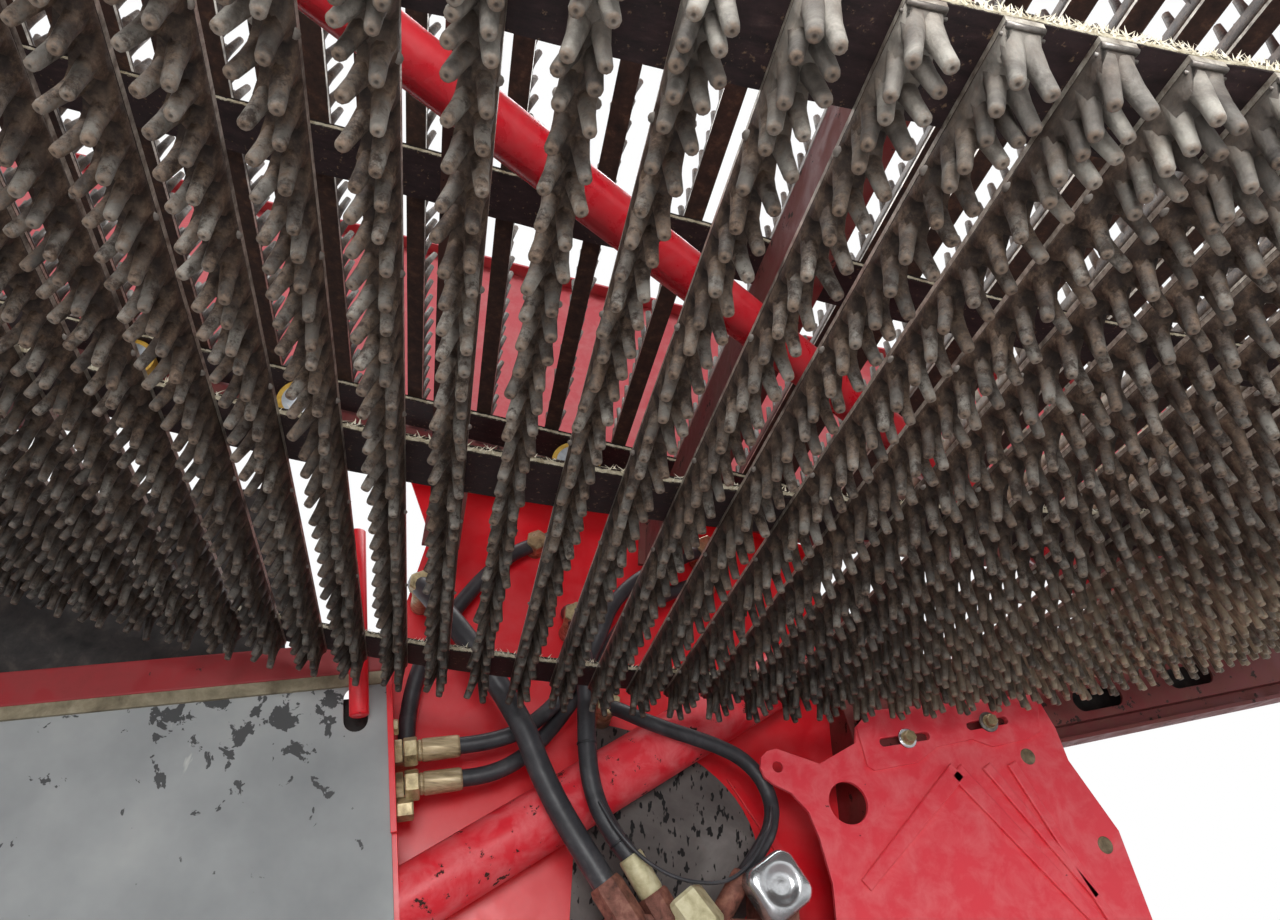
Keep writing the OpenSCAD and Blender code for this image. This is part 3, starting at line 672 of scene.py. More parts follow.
def strip_pieces(name, stretch, fingers, saddle_step):
    """The flats, saddles and fingers of one group of strips.

    fingers lists (suffix, span of y, span of x, sides, shaft).
    """
    node = "strips_" + name
    strips = strips_on(stretch)
    rows = finger_rows()
    flats = Pile()
    ys = np.linspace(-WEB_HALF, WEB_HALF, FLAT_STEPS)
    i = np.arange(FLAT_STEPS - 1) * 2
    for seat in strips:
        wave = np.cumsum(rng.normal(0, FLAT_WANDER, FLAT_STEPS))
        wave -= np.linspace(wave[0], wave[-1], FLAT_STEPS)
        for p, q, edge in FLAT_SIDES:
            verts = place(seat, (p + wave[:, None]).ravel(), np.repeat(ys, 2), np.tile(q, FLAT_STEPS))
            flats.add(verts, np.stack([i, i + 2, i + 3, i + 1], -1), edge=edge)
        for y in (-WEB_HALF, WEB_HALF):
            verts = place(seat, np.array([-1, 1, 1, -1]) * HALF_STRIP, y, [0, 0, STRIP_T, STRIP_T])
            flats.add(verts, [[0, 1, 2, 3]], edge=1.0)
    flats.piece(name + "_flats", ["flat"], "web_frame", "steel", [node], smooth=False)

    saddles = Pile()
    ys = np.arange(NEAR_PAIR_Y - SADDLE_PAST, WEB_HALF - SADDLE_SHORT, saddle_step)
    sections, pit_shade = saddle_sections(ys, rows)
    for seat in strips:
        # Each point's share of the pits goes in as a negative along, which the rubber darkens as painted
        # shade
        sweep(saddles, seat, sections, ys, along=-pit_shade.ravel(), tone=rng.random())
    saddles.piece(name + "_saddles", ["finger"], "web_frame", "finger_rubber", [node])

    for suffix, (y0, y1), (x0, x1), sides, shaft in fingers:
        pile = Pile()
        chosen = rows[(rows[:, 1] >= y0) & (rows[:, 1] < y1)]
        add_fingers(pile, [s for s in strips if x0 <= s[0][0] < x1], chosen, sides, shaft)
        pile.piece(f"{name}_fingers{suffix}", ["finger"], "web_frame", "finger_rubber", [node])


# Light buttons on both edges of the returning strips, and rivets at the belts: places along a strip,
# planes that they stand on, radius
BUTTON_Y, BUTTON_P, BUTTON_Q, BUTTON_R = [-454, -274, -94, 86, 266, 446], 11.5, 7.5, 4.2
RIVET_Y, RIVET_Q, EDGE_RIVET_Q, RIVET_R = [-540, -497, -24, 24, 494, 540], 11.5, 9.5, 4.6
HEAD_SIDES = 10


def disc(pile, seat, p, y, q, r):
    """A low round head that stands on the plane q."""
    a = round_angles(HEAD_SIDES)
    rings = [(r, q), (r, q + 1.2), (r * 0.6, q + 2.6)]
    pts = np.concatenate([place(seat, p + k * np.cos(a), y + k * np.sin(a), h) for k, h in rings]
                         + [place(seat, [p], y, q + 3.0)])
    n = len(rings)
    pile.add(pts, ring_quads(n, HEAD_SIDES), ring_fan((n - 1) * HEAD_SIDES, n * HEAD_SIDES, HEAD_SIDES))


def make_strip_trim():
    buttons, rivets, clips = Pile(), Pile(), Pile()
    for seat in strips_on(RETURN):
        for y in BUTTON_Y:
            for side in (-1, 1):
                disc(buttons, seat, side * BUTTON_P, y + rng.normal(0, 1), BUTTON_Q, BUTTON_R)
        for y in RIVET_Y:
            q = RIVET_Q if abs(y) < 530 else EDGE_RIVET_Q
            disc(rivets, seat, rng.normal(0, 1), y, q, RIVET_R)
        # A wire across the near end, and a short tube in front of it
        y = NEAR_PAIR_Y - 4.5
        turned(clips, *place(seat, [-14.5, 14.5], y, np.array([7.0, 8.2]) + rng.normal(0, 0.6)),
               [(0, 1.2), (1, 1.2)], 6)
        turned(clips, *place(seat, [-12.4, 12.4], y - 4.6, 6.4), [(0, 1.0), (0, 1.9), (1, 1.9), (1, 1.0)], 8)
    buttons.piece("strip_buttons", ["button"], "web_frame", "finger_rubber")
    rivets.piece("strip_rivets", ["rivet"], "web_frame", "steel")
    clips.piece("strip_clips", ["steel"], "web_frame", "steel")


# The returning fingers are parted into three pieces, at these places across and along the web
PART_Y, PART_X = 20, 1700
# Step along a saddle: the returning ones show their rise round each finger
SADDLE_STEP, FAR_SADDLE_STEP = 7.55, 30.2


def make_strips():
    end = math.inf
    strip_pieces("return", RETURN, [
        ("_near_left", (-end, PART_Y), (-end, PART_X), 9, SHAFT),
        ("_near_right", (-end, PART_Y), (PART_X, end), 10, SHAFT),
        ("_far", (PART_Y, end), (-end, end), 8, SHAFT),
    ], SADDLE_STEP)
    others = (("carrying", RUN), ("slack", SLACK), ("idler_end", IDLER_END), ("drive_end", DRIVE_END))
    for name, stretch in others:
        strip_pieces(name, stretch, [("", (-end, end), (-end, end), 8, FAR_SHAFT)], FAR_SADDLE_STEP)


# Belts: place across the web, loose threads on the cut side that faces the camera

BELTS = {"belt_near": (-BELT_Y, 5200), "belt_middle": (0.0, 1500), "belt_far": (BELT_Y, 1500)}
# Steps round a belt, rings over its cut side, first seed, and how uneven its edges and its plies are
BELT_STEPS, PLY_RINGS, BELT_SEED, EDGE_ROUGH, PLY_ROUGH, PLY_TURN = 420, 5, 20, 0.5, 0.5, 1.9
# Threads: how far past the return arc they go on, how far out of the loop they begin, their drift along
# the belt, their fall, their way off the belt and their half width
THREAD_PAST, THREAD_FROM, THREAD_DRIFT, THREAD_FALL = 60, (0.0, 6.5), 5.0, (3.5, 2.4)
THREAD_OFF, THREAD_WIDE = (0.5, 3.0), (0.5, 1.3)


def make_belt(node, y_mid, threads, seed):
    """A belt round the loop, with its cut sides drawn as frayed plies."""
    local = np.random.default_rng(seed)
    ring = [on_loop(s, 0) for s in np.linspace(0, ENDS[-1], BELT_STEPS, endpoint=False)]
    inner = np.array([at for at, look in ring])
    out = np.array([unit(look) for at, look in ring])
    pile = Pile()

    def band(ys, offs, mat, ply):
        pts = []
        for y, off in zip(ys, offs):
            xz = inner + out * off
            pts.append(np.stack([xz[:, 0], y, xz[:, 1]], -1))
        quads = ring_quads(len(pts), BELT_STEPS)
        pile.add(np.concatenate(pts), quads, mat=mat, ply=np.repeat(ply, BELT_STEPS))

    half = BELT_W / 2
    rough_lo = -np.abs(local.normal(0, EDGE_ROUGH, BELT_STEPS))
    rough_hi = -np.abs(local.normal(0, EDGE_ROUGH, BELT_STEPS))
    edges = [y_mid - half - rough_lo, y_mid + half + rough_hi]
    band(edges, [BELT_T, BELT_T], 0, [0, 0])
    band(edges[::-1], [0, 0], 0, [0, 0])
    ply = [1 - j / (PLY_RINGS - 1) for j in range(PLY_RINGS)]
    for side, rough in ((-1, -rough_lo), (1, rough_hi)):
        ys = [y_mid + side * half + rough - side * abs(np.sin(j * PLY_TURN)) * PLY_ROUGH
              for j in range(PLY_RINGS)]
        band(ys, [BELT_T * share for share in ply], 1, ply)
    for s in local.uniform(ENDS[RETURN] - THREAD_PAST, ENDS[DRIVE_END] + THREAD_PAST, threads):
        at, look = on_loop(s, local.uniform(*THREAD_FROM))
        along, outward = unit(look - QUARTER), unit(look)
        root = np.array([at[0], y_mid - half + 0.5, at[1]])
        drift = local.normal(0, THREAD_DRIFT)
        x, z = along * drift + outward * -abs(local.normal(*THREAD_FALL))
        tip = root + [x, -local.uniform(*THREAD_OFF), z]
        wide = np.array([along[0], 0, along[1]]) * local.uniform(*THREAD_WIDE)
        pile.add([root - wide, root + wide, tip], tris=[(0, 1, 2)], mat=2, ply=0.2)
    pile.piece(node + "_plies", ["belt", "ply", "thread"], "web_frame", "belt_rubber", [node], smooth=False)


# Hoses: diameter and route, in mm

HOSES = {
    "upper_hose": (27, [
        (1697, 690, -578), (1738, 690, -569), (1776, 690, -561), (1828, 690, -549), (1876, 690, -529),
        (1920, 690, -492), (1955, 690, -445), (1985, 692, -395), (2006, 697, -340), (2024, 700, -285),
        (2056, 702, -238), (2105, 704, -195), (2158, 705, -162), (2200, 712, -137), (2224, 745, -126)]),
    "lower_hose": (27, [
        (1697, 690, -630), (1746, 690, -620), (1790, 690, -611), (1840, 690, -598), (1884, 694, -571),
        (1920, 702, -530), (1950, 712, -485), (1980, 720, -435), (2010, 722, -385), (2036, 722, -335),
        (2066, 722, -290), (2110, 722, -250), (2165, 722, -218), (2214, 726, -196), (2246, 750, -182)]),
    "return_hose": (38, [
        (1672, 745, -258), (1676, 710, -270), (1684, 677, -293), (1715, 661, -330), (1750, 648, -370),
        (1785, 640, -412), (1822, 638, -458), (1858, 638, -505), (1886, 638, -548), (1912, 638, -600),
        (1945, 638, -655), (1983, 638, -708), (2026, 638, -764)]),
    "lift_hose": (30, [
        (1952, 748, -282), (1954, 725, -290), (1958, 690, -318), (1966, 665, -362), (1973, 650, -410),
        (1978, 642, -460), (1981, 640, -510), (1985, 640, -560), (1993, 640, -608), (2009, 640, -652),
        (2034, 640, -690), (2065, 640, -726)]),
    "loop_hose": (25, [
        (2008, 748, -460), (2012, 730, -462), (2026, 692, -473), (2046, 667, -487), (2074, 651, -503),
        (2115, 643, -518), (2162, 646, -528), (2208, 655, -537), (2250, 664, -551), (2283, 668, -579),
        (2299, 667, -620), (2288, 652, -664), (2263, 643, -702), (2232, 640, -742)]),
    "riser_hose": (28, [
        (1699, 735, -556), (1694, 735, -505), (1695, 735, -455), (1702, 735, -410), (1714, 735, -370),
        (1735, 735, -325), (1762, 735, -275), (1795, 735, -225), (1835, 735, -180), (1872, 740, -152),
        (1890, 752, -138)]),
    "thin_cable": (6, [
        (2006, 623, -646), (2034, 615, -688), (2072, 612, -724), (2115, 612, -746), (2160, 612, -754),
        (2205, 612, -748), (2243, 613, -720), (2272, 617, -675), (2285, 634, -652), (2294, 654, -628)]),
}
# Bands and ties: hose, share of its length, width, look
BANDS = [
    ("upper_hose", 0.02, 5, "pink_band"),
    ("lower_hose", 0.035, 6, "pink_band"),
    ("lower_hose", 0.085, 8, "blue_band"),
    ("lower_hose", 0.13, 4, "tie"),
    ("lift_hose", 0.93, 4, "tie"),
    ("lift_hose", 0.62, 4, "tie"),
]
# Section of a band: share of its width, height over the hose
BAND = [(0, -0.5), (0, 0.9), (0.15, 1.4), (0.85, 1.4), (1, 0.9), (1, -0.5)]
# Points of a drawn hose, and steps between two points of its route
HOSE_POINTS = 30
SUB_STEPS = 12


def smooth_route(route):
    """Evenly spread points of a smooth curve through a route, in mm, and the curve's length."""
    p = np.array(route, float)
    p = np.vstack([2 * p[0] - p[1], p, 2 * p[-1] - p[-2]])
    pts = []
    for i in range(1, len(p) - 2):
        a, b, c, d = p[i - 1:i + 3]
        for t in np.arange(SUB_STEPS) / SUB_STEPS:
            pts.append(0.5 * (2 * b + (c - a) * t + (2 * a - 5 * b + 4 * c - d) * t * t
                              + (3 * b - a - 3 * c + d) * t ** 3))
    pts = np.array(pts + [p[-2]])
    s = np.concatenate([[0], np.cumsum(np.linalg.norm(np.diff(pts, axis=0), axis=1))])
    even = np.linspace(0, s[-1], HOSE_POINTS)
    return np.stack([np.interp(even, s, pts[:, k]) for k in range(3)], -1), s[-1]


def turned(pile, start, end, profile, sides=24, spin=0.0):
    """A turned or many-sided form about a line; profile holds (share of the way, radius)."""
    start, end = np.array(start, float), np.array(end, float)
    axis = end - start
    helper = [1.0, 0.0, 0.0] if abs(axis[1]) > 0.8 * np.linalg.norm(axis) else [0.0, 1.0, 0.0]
    u = normed(np.cross(axis, helper))
    w = normed(np.cross(axis, u))
    a = spin + round_angles(sides)
    way = np.cos(a)[:, None] * u + np.sin(a)[:, None] * w
    verts = np.concatenate([start + axis * t + r * way for t, r in profile]
                           + [[start + axis * profile[0][0]], [start + axis * profile[-1][0]]])
    n = len(profile)
    fans = [ring_fan(0, n * sides, sides)[:, [1, 0, 2]], ring_fan((n - 1) * sides, n * sides + 1, sides)]
    pile.add(verts, ring_quads(n, sides), np.concatenate(fans))


def turned_piece(name, look, slot, *rows):
    """One piece on the carrier; each row holds what turned takes."""
    pile = Pile()
    for row in rows:
        turned(pile, *row)
    return pile.piece(name, [look], "carrier", slot)


def band_on(route, share, width, d, name, look):
    """A band or tie round a hose, at a share of its length."""
    pts = smooth_route(route)[0]
    i = min(int(share * (HOSE_POINTS - 1)), HOSE_POINTS - 2)
    along = pts[i + 1] - pts[i]
    at = pts[i] + along * (share * (HOSE_POINTS - 1) - i)
    along *= width / 2 / np.linalg.norm(along)
    profile = [(t, d / 2 + r) for t, r in BAND]
    return turned_piece(name, look, "wheel_rubber", (at - along, at + along, profile, 28))


def make_hoses(ends):
    """The hoses as round curves with their bands; ends holds the fittings of those that end in the valve
    block.
    """
    for node, (d, route) in HOSES.items():
        pts, length = smooth_route(route)
        curve = bpy.data.curves.new(node + "_run", "CURVE")
        curve.dimensions = "3D"
        curve.bevel_depth = d / 2 * MM
        curve.bevel_resolution = 6
        curve.resolution_u = 4
        curve.use_fill_caps = True
        spline = curve.splines.new("BEZIER")
        spline.bezier_points.add(HOSE_POINTS - 1)
        for point, at in zip(spline.bezier_points, pts):
            point.co = at * MM
            point.handle_left_type = point.handle_right_type = "AUTO"
        curve.materials.append(MATERIALS["hose"])
        o = linked(node + "_run", curve)
        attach(o, "carrier")
        on_it = [band_on(route, share, width, d, f"{node}_band_{i}", look)
                 for i, (name, share, width, look) in enumerate(BANDS) if name == node]


# Hydraulic side: nuts and turned fittings, in mm. The bulkhead's own axes begin at the sill's upper end.

BULK_TOP = (1642.0, -410.0)
BULK_TILT = math.radians(11.6)
FITTING_Y, PANEL_Y = 690.0, 765.0
FITTINGS_B = (-175.0, -227.0)
PORTS = [(1682, 678, -290), (1957, 685, -315), (2024, 690, -471), (1880, 735, -148), (2210, 705, -132),
         (2226, 722, -190)]
# Nuts on the bulkhead: height, y, start and end along its axis, width across flats, spin
BULK_NUTS = [(-175, FITTING_Y, 8, 21, 36, 0.5), (-175, FITTING_Y, 22, 44, 40, 0),
             (-227, FITTING_Y, 8, 21, 38, 0.5), (-227, FITTING_Y, 22, 44, 42, 0),
             (-172, 735, 8, 40, 36, 0.3), (-140, 668, 1, 16, 22, 0), (-262, FITTING_Y, 8, 34, 30, 0.2)]
# Hexagon nut, from chamfer to chamfer, as (share of the way, share of the radius)
NUT = [(0, 0.9), (0.09, 1.0), (0.91, 1.0), (1, 0.9)]
COLLAR = [(0, 15), (0.5, 17.2), (1, 14.5)]
CRIMP = [(0, 13.5), (0, 16.8), (0.05, 18.2), (0.92, 17.6), (1, 16.4), (1, 12.5)]
LIFT_CRIMP = [(0, 14), (0, 18.4), (0.06, 19.6), (0.9, 19.4), (1, 17.5)]
LOOP_CRIMP = [(0, 11), (0, 15.6), (0.06, 16.8), (1, 16.6)]


def tilted(origin, tilt, a, b):
    """Place in x and z of the point a along and b up from an origin, on tilted axes."""
    return tuple(origin + a * unit(tilt) + b * unit(tilt + QUARTER))


def bulk(a, b):
    return tilted(BULK_TOP, BULK_TILT, a, b)


def at_bulk(a, b, y):
    x, z = bulk(a, b)
    return x, y, z


def nut(pile, start, end, wide, spin=0.0):
    turned(pile, start, end, [(t, r * wide / math.sqrt(3)) for t, r in NUT], 6, spin)


def hexagon(name, look, start, end, wide, spin):
    pile = Pile()
    nut(pile, start, end, wide, spin)
    return pile.piece(name, [look], "carrier", "steel", smooth=False)


def make_fittings():
    """The fittings on the bulkhead and the ports, and those that go with a hose, which are given back."""
    nuts, round_ones = Pile(), Pile()
    for b, y, start, end, wide, spin in BULK_NUTS:
        nut(nuts, at_bulk(start, b, y), at_bulk(end, b, y), wide, spin)
    for b in FITTINGS_B:
        turned(round_ones, at_bulk(43, b, FITTING_Y), at_bulk(52, b, FITTING_Y), COLLAR)
        turned(round_ones, at_bulk(50, b, FITTING_Y), at_bulk(110, b, FITTING_Y), CRIMP, 30)
    for x, y, z in PORTS:
        nut(nuts, (x, y - 16, z), (x, y + 12, z), 38)
        turned(round_ones, (x, y + 11, z), (x, PANEL_Y - 0.5, z), [(0, 16), (0.5, 16), (1, 19)])
    nuts.piece("fitting_nuts", ["zinc"], "carrier", "steel", smooth=False)
    round_ones.piece("fitting_crimps", ["crimp"], "carrier", "steel")
    hexagon("pale_hexagon", "cream", (2138, 640, -772), (2175, 628, -820), 62, 0.1)
    return {
        "return_hose": [hexagon("return_hexagon", "rusty_hex",
                                (2020, 638, -757), (2082, 643, -835), 45, 0.2)],
        "lift_hose": [turned_piece("lift_crimp", "cream", "steel",
                                   ((2059, 640, -718), (2096, 643, -770), LIFT_CRIMP, 30)),
                      hexagon("lift_hexagon", "rusty_hex", (2094, 643, -768), (2121, 645, -806), 42, 0.35)],
        "loop_hose": [turned_piece("loop_crimp", "rusty_hex", "steel",
                                   ((2237, 640, -734), (2199, 644, -795), LOOP_CRIMP, 26))],
    }


# Far side of the carrier, in mm: plates cut along Y, with holes and rounded edges

CIRCLE_SIDES, SLOT_SIDES, PLATE_ROUND = 32, 12, 0.6


def arc(at, r, angles):
    return [(at[0] + r * math.cos(a), at[1] + r * math.sin(a)) for a in angles]


def circle(x, z, d):
    return arc((x, z), d / 2, round_angles(CIRCLE_SIDES))


def slot_ring(a, b, d):
    """Outline of an oblong slot with round ends."""
    lean = math.atan2(b[1] - a[1], b[0] - a[0])
    half_turn = [math.pi * k / SLOT_SIDES for k in range(SLOT_SIDES + 1)]
    return (arc(b, d / 2, [lean - QUARTER + k for k in half_turn])
            + arc(a, d / 2, [lean + QUARTER + k for k in half_turn]))


def box(a0, b0, a1, b1, axes=lambda a, b: (a, b)):
    """Outline of a rectangle between two corners."""
    return [axes(a0, b0), axes(a1, b0), axes(a1, b1), axes(a0, b1)]


def plate(pile, outline, y0, y1, holes=(), round_by=PLATE_ROUND, mat=0):
    """A flat plate from y0 to y1 with the outline and holes given in x and z."""
    curve = bpy.data.curves.new("plate", "CURVE")
    curve.dimensions = "2D"
    curve.fill_mode = "BOTH"
    curve.extrude = (y1 - y0) / 2 - round_by
    curve.bevel_depth = round_by
    curve.bevel_resolution = 1
    for ring in (outline, *holes):
        spline = curve.splines.new("POLY")
        spline.points.add(len(ring) - 1)
        spline.use_cyclic_u = True
        for point, (x, z) in zip(spline.points, ring):
            point.co = (x, z, 0, 1)
    o = linked("plate", curve)
    bpy.context.view_layer.update()
    mesh = bpy.data.meshes.new_from_object(o)
    flat = np.array([v.co for v in mesh.vertices])
    verts = np.stack([flat[:, 0], (y0 + y1) / 2 - flat[:, 2], flat[:, 1]], -1)
    quads, tris = ([tuple(f.vertices) for f in mesh.polygons if len(f.vertices) == n] for n in (4, 3))
    pile.add(verts, quads, tris, mat)
    bpy.data.objects.remove(o)
    bpy.data.curves.remove(curve)
    bpy.data.meshes.remove(mesh)


def plates(name, looks, slot, replaces, *rows):
    """One piece on the carrier; each row holds what plate takes."""
    pile = Pile()
    for row in rows:
        plate(pile, *row)
    pile.piece(name, looks, "carrier", slot, replaces, smooth=False)


SILL_Y = 650.0
SILL_H, SILL_DEPTH, STRIP_LOW, BULK_T, BULK_LOW = 48.0, 50, 70.0, 8.0, -498
LEG_X, SILL_BEND_X = 102.0, 900.0
LOW_Z, PANEL_END_X = -898.0, 2459
POST_A, POST_Y, POST_R = -42, SILL_Y - 12, 15
PANEL_TOP = [(1619, -20), (1900, -20), (2100, -12), (2300, -40), (PANEL_END_X, -90)]
# Dark half round plate on the panel: middle of its straight edge, reach along x and z
ROUND_PLATE, ROUND_X, ROUND_Z = (1990, -690), 315, 210
STRUT_A, STRUT_B, STRUT_Y, STRUT_D = np.array([1672.0, -830.0]), np.array([2400.0, -345.0]), 712.0, 100.0
STRUT_SIDES, STRUT_RINGS = 64, 12
BRACKET = [(2381, -556), (2451, -515), (2455, -487), (2483, -458), (2821, -396), (2846, -456), (2856, -513),
           (2920, -628), (2938, -764), (2938, LOW_Z), (2385, LOW_Z), (2385, -740), (2370, -674), (2355, -634),
           (2328, -606), (2296, -593), (2283, -584), (2277, -570), (2279, -553), (2290, -542), (2306, -537),
           (2330, -543)]
BRACKET_HOLES = [(2306, -566, 20), (2425, -615, 70), (2777, -512, 30), (2887, -653, 30)]
BRACKET_SLOTS, BRACKET_SLOT_W = [((2500, -511), (2582, -493)), ((2672, -468), (2742, -451))], 17
STRAP = [(2455, -487), (2483, -458), (2821, -396), (2809, -465), (2785, -479), (2710, -500), (2671, -490),
         (2600, -509), (2559, -539), (2477, -559), (2466, -553)]
# Pressed ribs: start, end, width
RIBS = [((2630, -550), (2440, -738), 26), ((2630, -550), (2860, -800), 26), ((2690, -538), (2842, -735), 14),
        ((2740, -530), (2905, -860), 14)]
BRACKET_Y = 642.0
BEAM_FOOT, BEAM_SLOPE, BEAM_LEN, BEAM_H = (2470.0, -577.0), math.radians(14.3), 1121.0, 177.0
BEAM_DEPTH, BEAM_T = 60, 6
# Slots of the beam: x, z of the first, rise from one to the next, half length, width
BEAM_SLOTS, SLOT_Z, SLOT_RISE, SLOT_HALF, SLOT_W = (2960, 3183), -385, BEAM_SLOPE + math.radians(2), 36, 42


def on_beam(a, b):
    return tilted(BEAM_FOOT, BEAM_SLOPE, a, b)


def make_sill():
    bend_z = BULK_TOP[1] + (SILL_BEND_X - BULK_TOP[0]) * math.tan(BULK_TILT)
    outline = [(LEG_X, -640), (SILL_BEND_X, bend_z), bulk(0, 0), bulk(0, -SILL_H),
               (SILL_BEND_X, bend_z - SILL_H - 1), (LEG_X, -695)]
    plates("sill_bar", ["sill_red_in_painted_shade"], "red_paint", ["side_sill"],
           (outline, SILL_Y, SILL_Y + SILL_DEPTH, (), 3))
    post = Pile()
    turned(post, at_bulk(POST_A, -125, POST_Y), at_bulk(POST_A, 200, POST_Y),
           [(0, POST_R - 1.5), (0.005, POST_R), (0.995, POST_R), (1, POST_R - 1.5)], 32)
    post.piece("sill_post", ["red"], "carrier", "red_paint", ["side_sill"])
    plates("sill_strip", ["beige"], "red_paint", (),
           (box(-640, -SILL_H, 0, -STRIP_LOW, bulk), SILL_Y + 2, SILL_Y + 22))
    plates("sheet_front", ["sheet"], "galvanised", ["sheet_cover"],
           ([bulk(-620, -STRIP_LOW), bulk(0, -STRIP_LOW), bulk(0, BULK_LOW), (1110, LOW_Z)],
            SILL_Y + 8, SILL_Y + 11, [slot_ring(bulk(-48, -90), bulk(-48, -125), 38)]))


def make_dark_plates():
    (x, z), turns = ROUND_PLATE, [k * math.pi / 32 for k in range(-15, 16)]
    oval = [(x + ROUND_X * math.cos(a), z + ROUND_Z * math.sin(a)) for a in turns]
    plates("dark_plates", ["speckled", "wheel"], "galvanised", (),
           # The first three are dark sheets behind the sill, the beam's slots and the sheet's slot, set there
           # as painted shade
           (box(-700, 0, -160, 330, bulk), SILL_Y + 40, SILL_Y + 44, (), PLATE_ROUND, 1),
           (box(330, 40, 870, BEAM_H - 8, on_beam), SILL_Y + 48, SILL_Y + 50, (), PLATE_ROUND, 1),
           (box(-95, -75, -6, -150, bulk), SILL_Y + 52, SILL_Y + 54, (), PLATE_ROUND, 1),
           ([(x, LOW_Z)] + oval + [(x, -505)], PANEL_Y - 3, PANEL_Y - 0.5))


def make_bulkhead_and_panel():
    plates("bulkhead_plate", ["red"], "red_paint", ["bulkhead"],
           (box(0, 0, BULK_T, -300, bulk), SILL_Y, PANEL_Y),
           ([bulk(0, -300), bulk(BULK_T, -300), bulk(BULK_T, -496), bulk(0, BULK_LOW)], SILL_Y + 14, PANEL_Y))
    plates("panel_plate", ["red"], "red_paint", ["side_panel"],
           (PANEL_TOP + [(PANEL_END_X, LOW_Z), bulk(0, BULK_LOW), bulk(0, 10), (1676, -142)],
            PANEL_Y, PANEL_Y + 6),
           (PANEL_TOP + [(x, z - 6) for x, z in reversed(PANEL_TOP)], PANEL_Y - 30, PANEL_Y),
           # Folded edge that crosses the panel from the plate's round end
           ([(2255, -560), (2272, -560), (2372, -700), (2372, -724)], PANEL_Y - 6, PANEL_Y))


def make_strut():
    """A tube cut off at the bulkhead's plane and at the panel's end."""
    way = (STRUT_B - STRUT_A) / np.linalg.norm(STRUT_B - STRUT_A)
    rings = []
    for on_plane, normal in ((bulk(BULK_T, 0), unit(BULK_TILT)), ((PANEL_END_X, 0), (1, 0))):
        for a in round_angles(STRUT_SIDES):
            p = STRUT_A + STRUT_D / 2 * math.cos(a) * across(way)
            p = p + way * ((on_plane - p) @ normal / (way @ normal))
            rings.append((p[0], STRUT_Y + STRUT_D / 2 * math.sin(a), p[1]))
    first, last = np.array(rings).reshape(2, STRUT_SIDES, 3)
    steps = np.linspace(0, 1, STRUT_RINGS)[:, None, None]
    tube = Pile()
    tube.add(first * (1 - steps) + last * steps, ring_quads(STRUT_RINGS, STRUT_SIDES))
    tube.piece("strut_skin", ["red_worn"], "carrier", "red_paint", ["strut_tube"])


def make_bracket_and_beam():
    slots = [slot_ring(a, b, BRACKET_SLOT_W) for a, b in BRACKET_SLOTS]
    ribs = []
    for start, end, wide in RIBS:
        way = np.array(end, float) - start
        off = across(way / np.linalg.norm(way)) * wide / 2
        ribs.append(([tuple(start - off), tuple(end - off * 0.6), tuple(end + off * 0.6), tuple(start + off)],
                     BRACKET_Y - 6, BRACKET_Y, (), 2.9))
    plates("bracket_plate", ["red_pink"], "red_paint", ["ribbed_bracket"],
           (BRACKET, BRACKET_Y, BRACKET_Y + 8, [circle(*h) for h in BRACKET_HOLES] + slots, 1.0),
           (STRAP, BRACKET_Y - 5, BRACKET_Y - 0.1, slots, 1.4), *ribs)

    rings = []
    for x in BEAM_SLOTS:
        c = np.array([x, SLOT_Z + (x - BEAM_SLOTS[0]) * math.tan(SLOT_RISE)])
        half = SLOT_HALF * unit(BEAM_SLOPE)
        rings.append(slot_ring(tuple(c - half), tuple(c + half), SLOT_W))
    # Web, upper flange, step and lower flange: height from and to, depth from and to, holes
    bands = [(36, BEAM_H, 0, BEAM_T, rings), (BEAM_H - BEAM_T, BEAM_H, BEAM_T, BEAM_DEPTH, ()),
             (30, 36, 0, 24, ()), (6, 36, 24, 30, ()), (0, 6, 0, BEAM_DEPTH, ())]
    plates("beam_channel", ["dark_red"], "dark_paint", ["slotted_beam"],
           *((box(0, b0, BEAM_LEN, b1, on_beam), SILL_Y + y0, SILL_Y + y1, holes, 0.5)
             for b0, b1, y0, y1, holes in bands),
           (box(2460, LOW_Z, 2470, -230), SILL_Y, PANEL_Y + 5))


# Bolts in the bracket's slots: place, diameter of the washer
BOLTS = [(2545, -501, 34), (2709, -458, 36)]
PLUGS = [(2777, -512), (2887, -653)]


def make_bolts():
    bolts = Pile()
    for x, z, wide in BOLTS:
        turned(bolts, (x, BRACKET_Y - 7, z), (x, BRACKET_Y - 10, z), [(0, 12.5), (0.7, 12.5), (1, 11)], 30)
        nut(bolts, (x, BRACKET_Y - 9.5, z), (x, BRACKET_Y - 21, z), 19, 0.4)
    bolts.piece("bracket_bolts", ["zinc"], "carrier", "steel", smooth=False)
    for name, look, (x, z, wide) in zip(("bright_washer", "dark_washer"), ("cap", "steel"), BOLTS):
        turned_piece(name, look, "steel", ((x, BRACKET_Y - 5, z), (x, BRACKET_Y - 8, z),
                                           [(0, wide / 2), (0.6, wide / 2), (1, wide / 2 - 1.5)], 36))
    turned_piece("bracket_plugs", "olive", "wheel_rubber",
                 *(((x, BRACKET_Y + 5, z), (x, BRACKET_Y - 0.5, z), [(0, 14.6), (0.75, 14.6), (1, 12.6)], 32)
                   for x, z in PLUGS))


# The cap is a square with round corners: middle, spin, half width, reach of the corners, y of its foot
CAP_AT, CAP_SPIN, CAP_HALF, CAP_CORNER, CAP_Y = (2278.0, -755.0), math.radians(35), 42, 50.5, 624
CAP_SIDES = 48
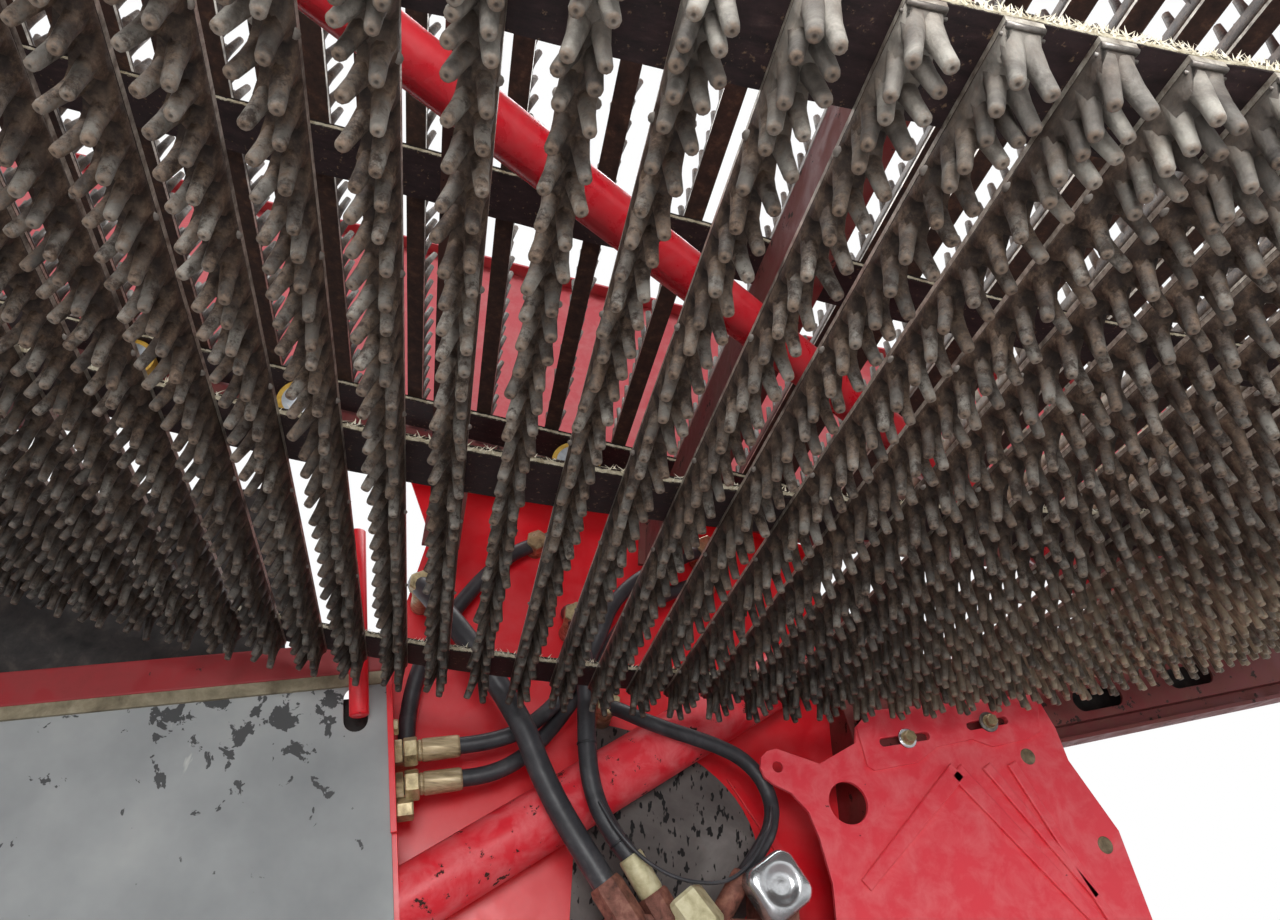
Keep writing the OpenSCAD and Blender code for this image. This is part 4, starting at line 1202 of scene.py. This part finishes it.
# Level, share of the square's outline, and how round the outline is there
CAP_LEVELS = [(0.0, 0.9, 0), (-4, 1.0, 0), (-30, 1.0, 0), (-38, 0.95, 0), (-41, 0.86, 0), (-42, 0.78, 1),
              (-42, 0.6, 1), (-38, 0.54, 1), (-37, 0.3, 1), (-38, 0.12, 1)]
# The plates' rounding widens their outline, so the block's foot stays above the lowest plane by as much
BLOCK_ROUND = 4


def make_valve():
    plates("valve_block", ["rusty_hex"], "steel", (),
           (box(2040, LOW_Z + BLOCK_ROUND, 2384, -800), 632, 762, (), BLOCK_ROUND),
           (box(2265, -800, 2315, -735), CAP_Y, 710, (), BLOCK_ROUND))
    verts = []
    for level, share, roundness in CAP_LEVELS:
        for a in round_angles(CAP_SIDES):
            r = min(CAP_HALF / max(abs(math.cos(a)), abs(math.sin(a))), CAP_CORNER)
            r = (r + (CAP_HALF - r) * roundness) * share
            a = a + CAP_SPIN
            verts.append((CAP_AT[0] + r * math.cos(a), CAP_Y + level, CAP_AT[1] + r * math.sin(a)))
    last = (len(CAP_LEVELS) - 1) * CAP_SIDES
    cap = Pile()
    cap.add(verts, ring_quads(len(CAP_LEVELS), CAP_SIDES),
            [(last, last + j, last + j + 1) for j in range(1, CAP_SIDES - 1)])
    cap.piece("valve_cap", ["cap"], "carrier", "steel")


# Pieces and stage

make_camera()
make_hoses(make_fittings())
make_sill()
make_dark_plates()
make_bulkhead_and_panel()
make_strut()
make_bracket_and_beam()
make_bolts()
make_valve()
make_strips()
make_strip_trim()
for i, (node, (y, threads)) in enumerate(BELTS.items()):
    make_belt(node, y, threads, BELT_SEED + i)

NODE_LOOKS = {
    "red": ["mount_flange", "cross_tube", "console_near", "console_far", "leg_near", "leg_far", "side_sill",
            "bulkhead", "side_panel", "strut_tube", "ribbed_bracket", "side_plate_near", "side_plate_far"],
    "tube_red": ["brace_tube"],
    "red_dusty": ["side_board_near", "side_board_far"],
    "dark_red": ["slotted_beam", "rail_near", "rail_far", "hangers_near", "hangers_far", "idler_slide_near",
                 "idler_slide_far", "cross_beams", "brown_beam", "cylinder_lug"],
    "brown": ["dark_beam"],
    "steel": ["drive_shaft", "idler_shaft", "roller_axles", "hydraulic_motor", "cylinder_barrel"],
    "disc": ["roller_cores"],
    "yellow": ["roller_tyres"],
    "chrome": ["cylinder_rod"],
    "sheet": ["sheet_cover"],
    "wheel": ["drive_wheels", "idler_wheels"],
}
for look, names in NODE_LOOKS.items():
    for n in names:
        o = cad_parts[n]
        o.data.materials.clear()
        o.data.materials.append(MATERIALS[look])

floor_mesh = bpy.data.meshes.new("floor")
floor_corners = [(-12, -12, FLOOR_Z), (16, -12, FLOOR_Z), (16, 12, FLOOR_Z), (-12, 12, FLOOR_Z)]
floor_mesh.from_pydata(floor_corners, [], [(0, 1, 2, 3)])
floor = linked("floor", floor_mesh)
pale = Tree("pale_floor", 0.7)
pale.colour(pale.ramp(pale.noise(3, 4), [(0.3, rgb(222, 222, 222)), (0.7, rgb(232, 232, 232))]))
floor_mesh.materials.append(pale.mat)

world = bpy.data.worlds.new("studio")
bpy.context.scene.world = world
world.use_nodes = True
wt = world.node_tree
background = wt.nodes["Background"]
path = wt.nodes.new("ShaderNodeLightPath")
# The camera and mirrors see white, and all else is lit by a dimmer, slightly blue sky
seen = wt.nodes.new("ShaderNodeMath")
seen.operation = "MAXIMUM"
wt.links.new(path.outputs["Is Camera Ray"], seen.inputs[0])
wt.links.new(path.outputs["Is Glossy Ray"], seen.inputs[1])
mixer = wt.nodes.new("ShaderNodeMix")
mixer.data_type = "RGBA"
mixer.inputs[6].default_value = AMBIENT
mixer.inputs[7].default_value = (1, 1, 1, 1)
wt.links.new(seen.outputs[0], mixer.inputs[0])
wt.links.new(mixer.outputs[2], background.inputs["Color"])
background.inputs["Strength"].default_value = 1.0

lamp("key", (0.5, -3.4, 2.4), (1.9, 0.2, -0.2), 1.6, 105)
lamp("low_fill", (1.5, -2.7, -0.5), (1.9, 0.3, -0.4), 1.4, 62)
lamp("top", (2.0, 1.2, 3.6), (1.9, 0.0, 0.0), 3.0, 120)
bpy.context.scene.view_settings.view_transform = "Standard"
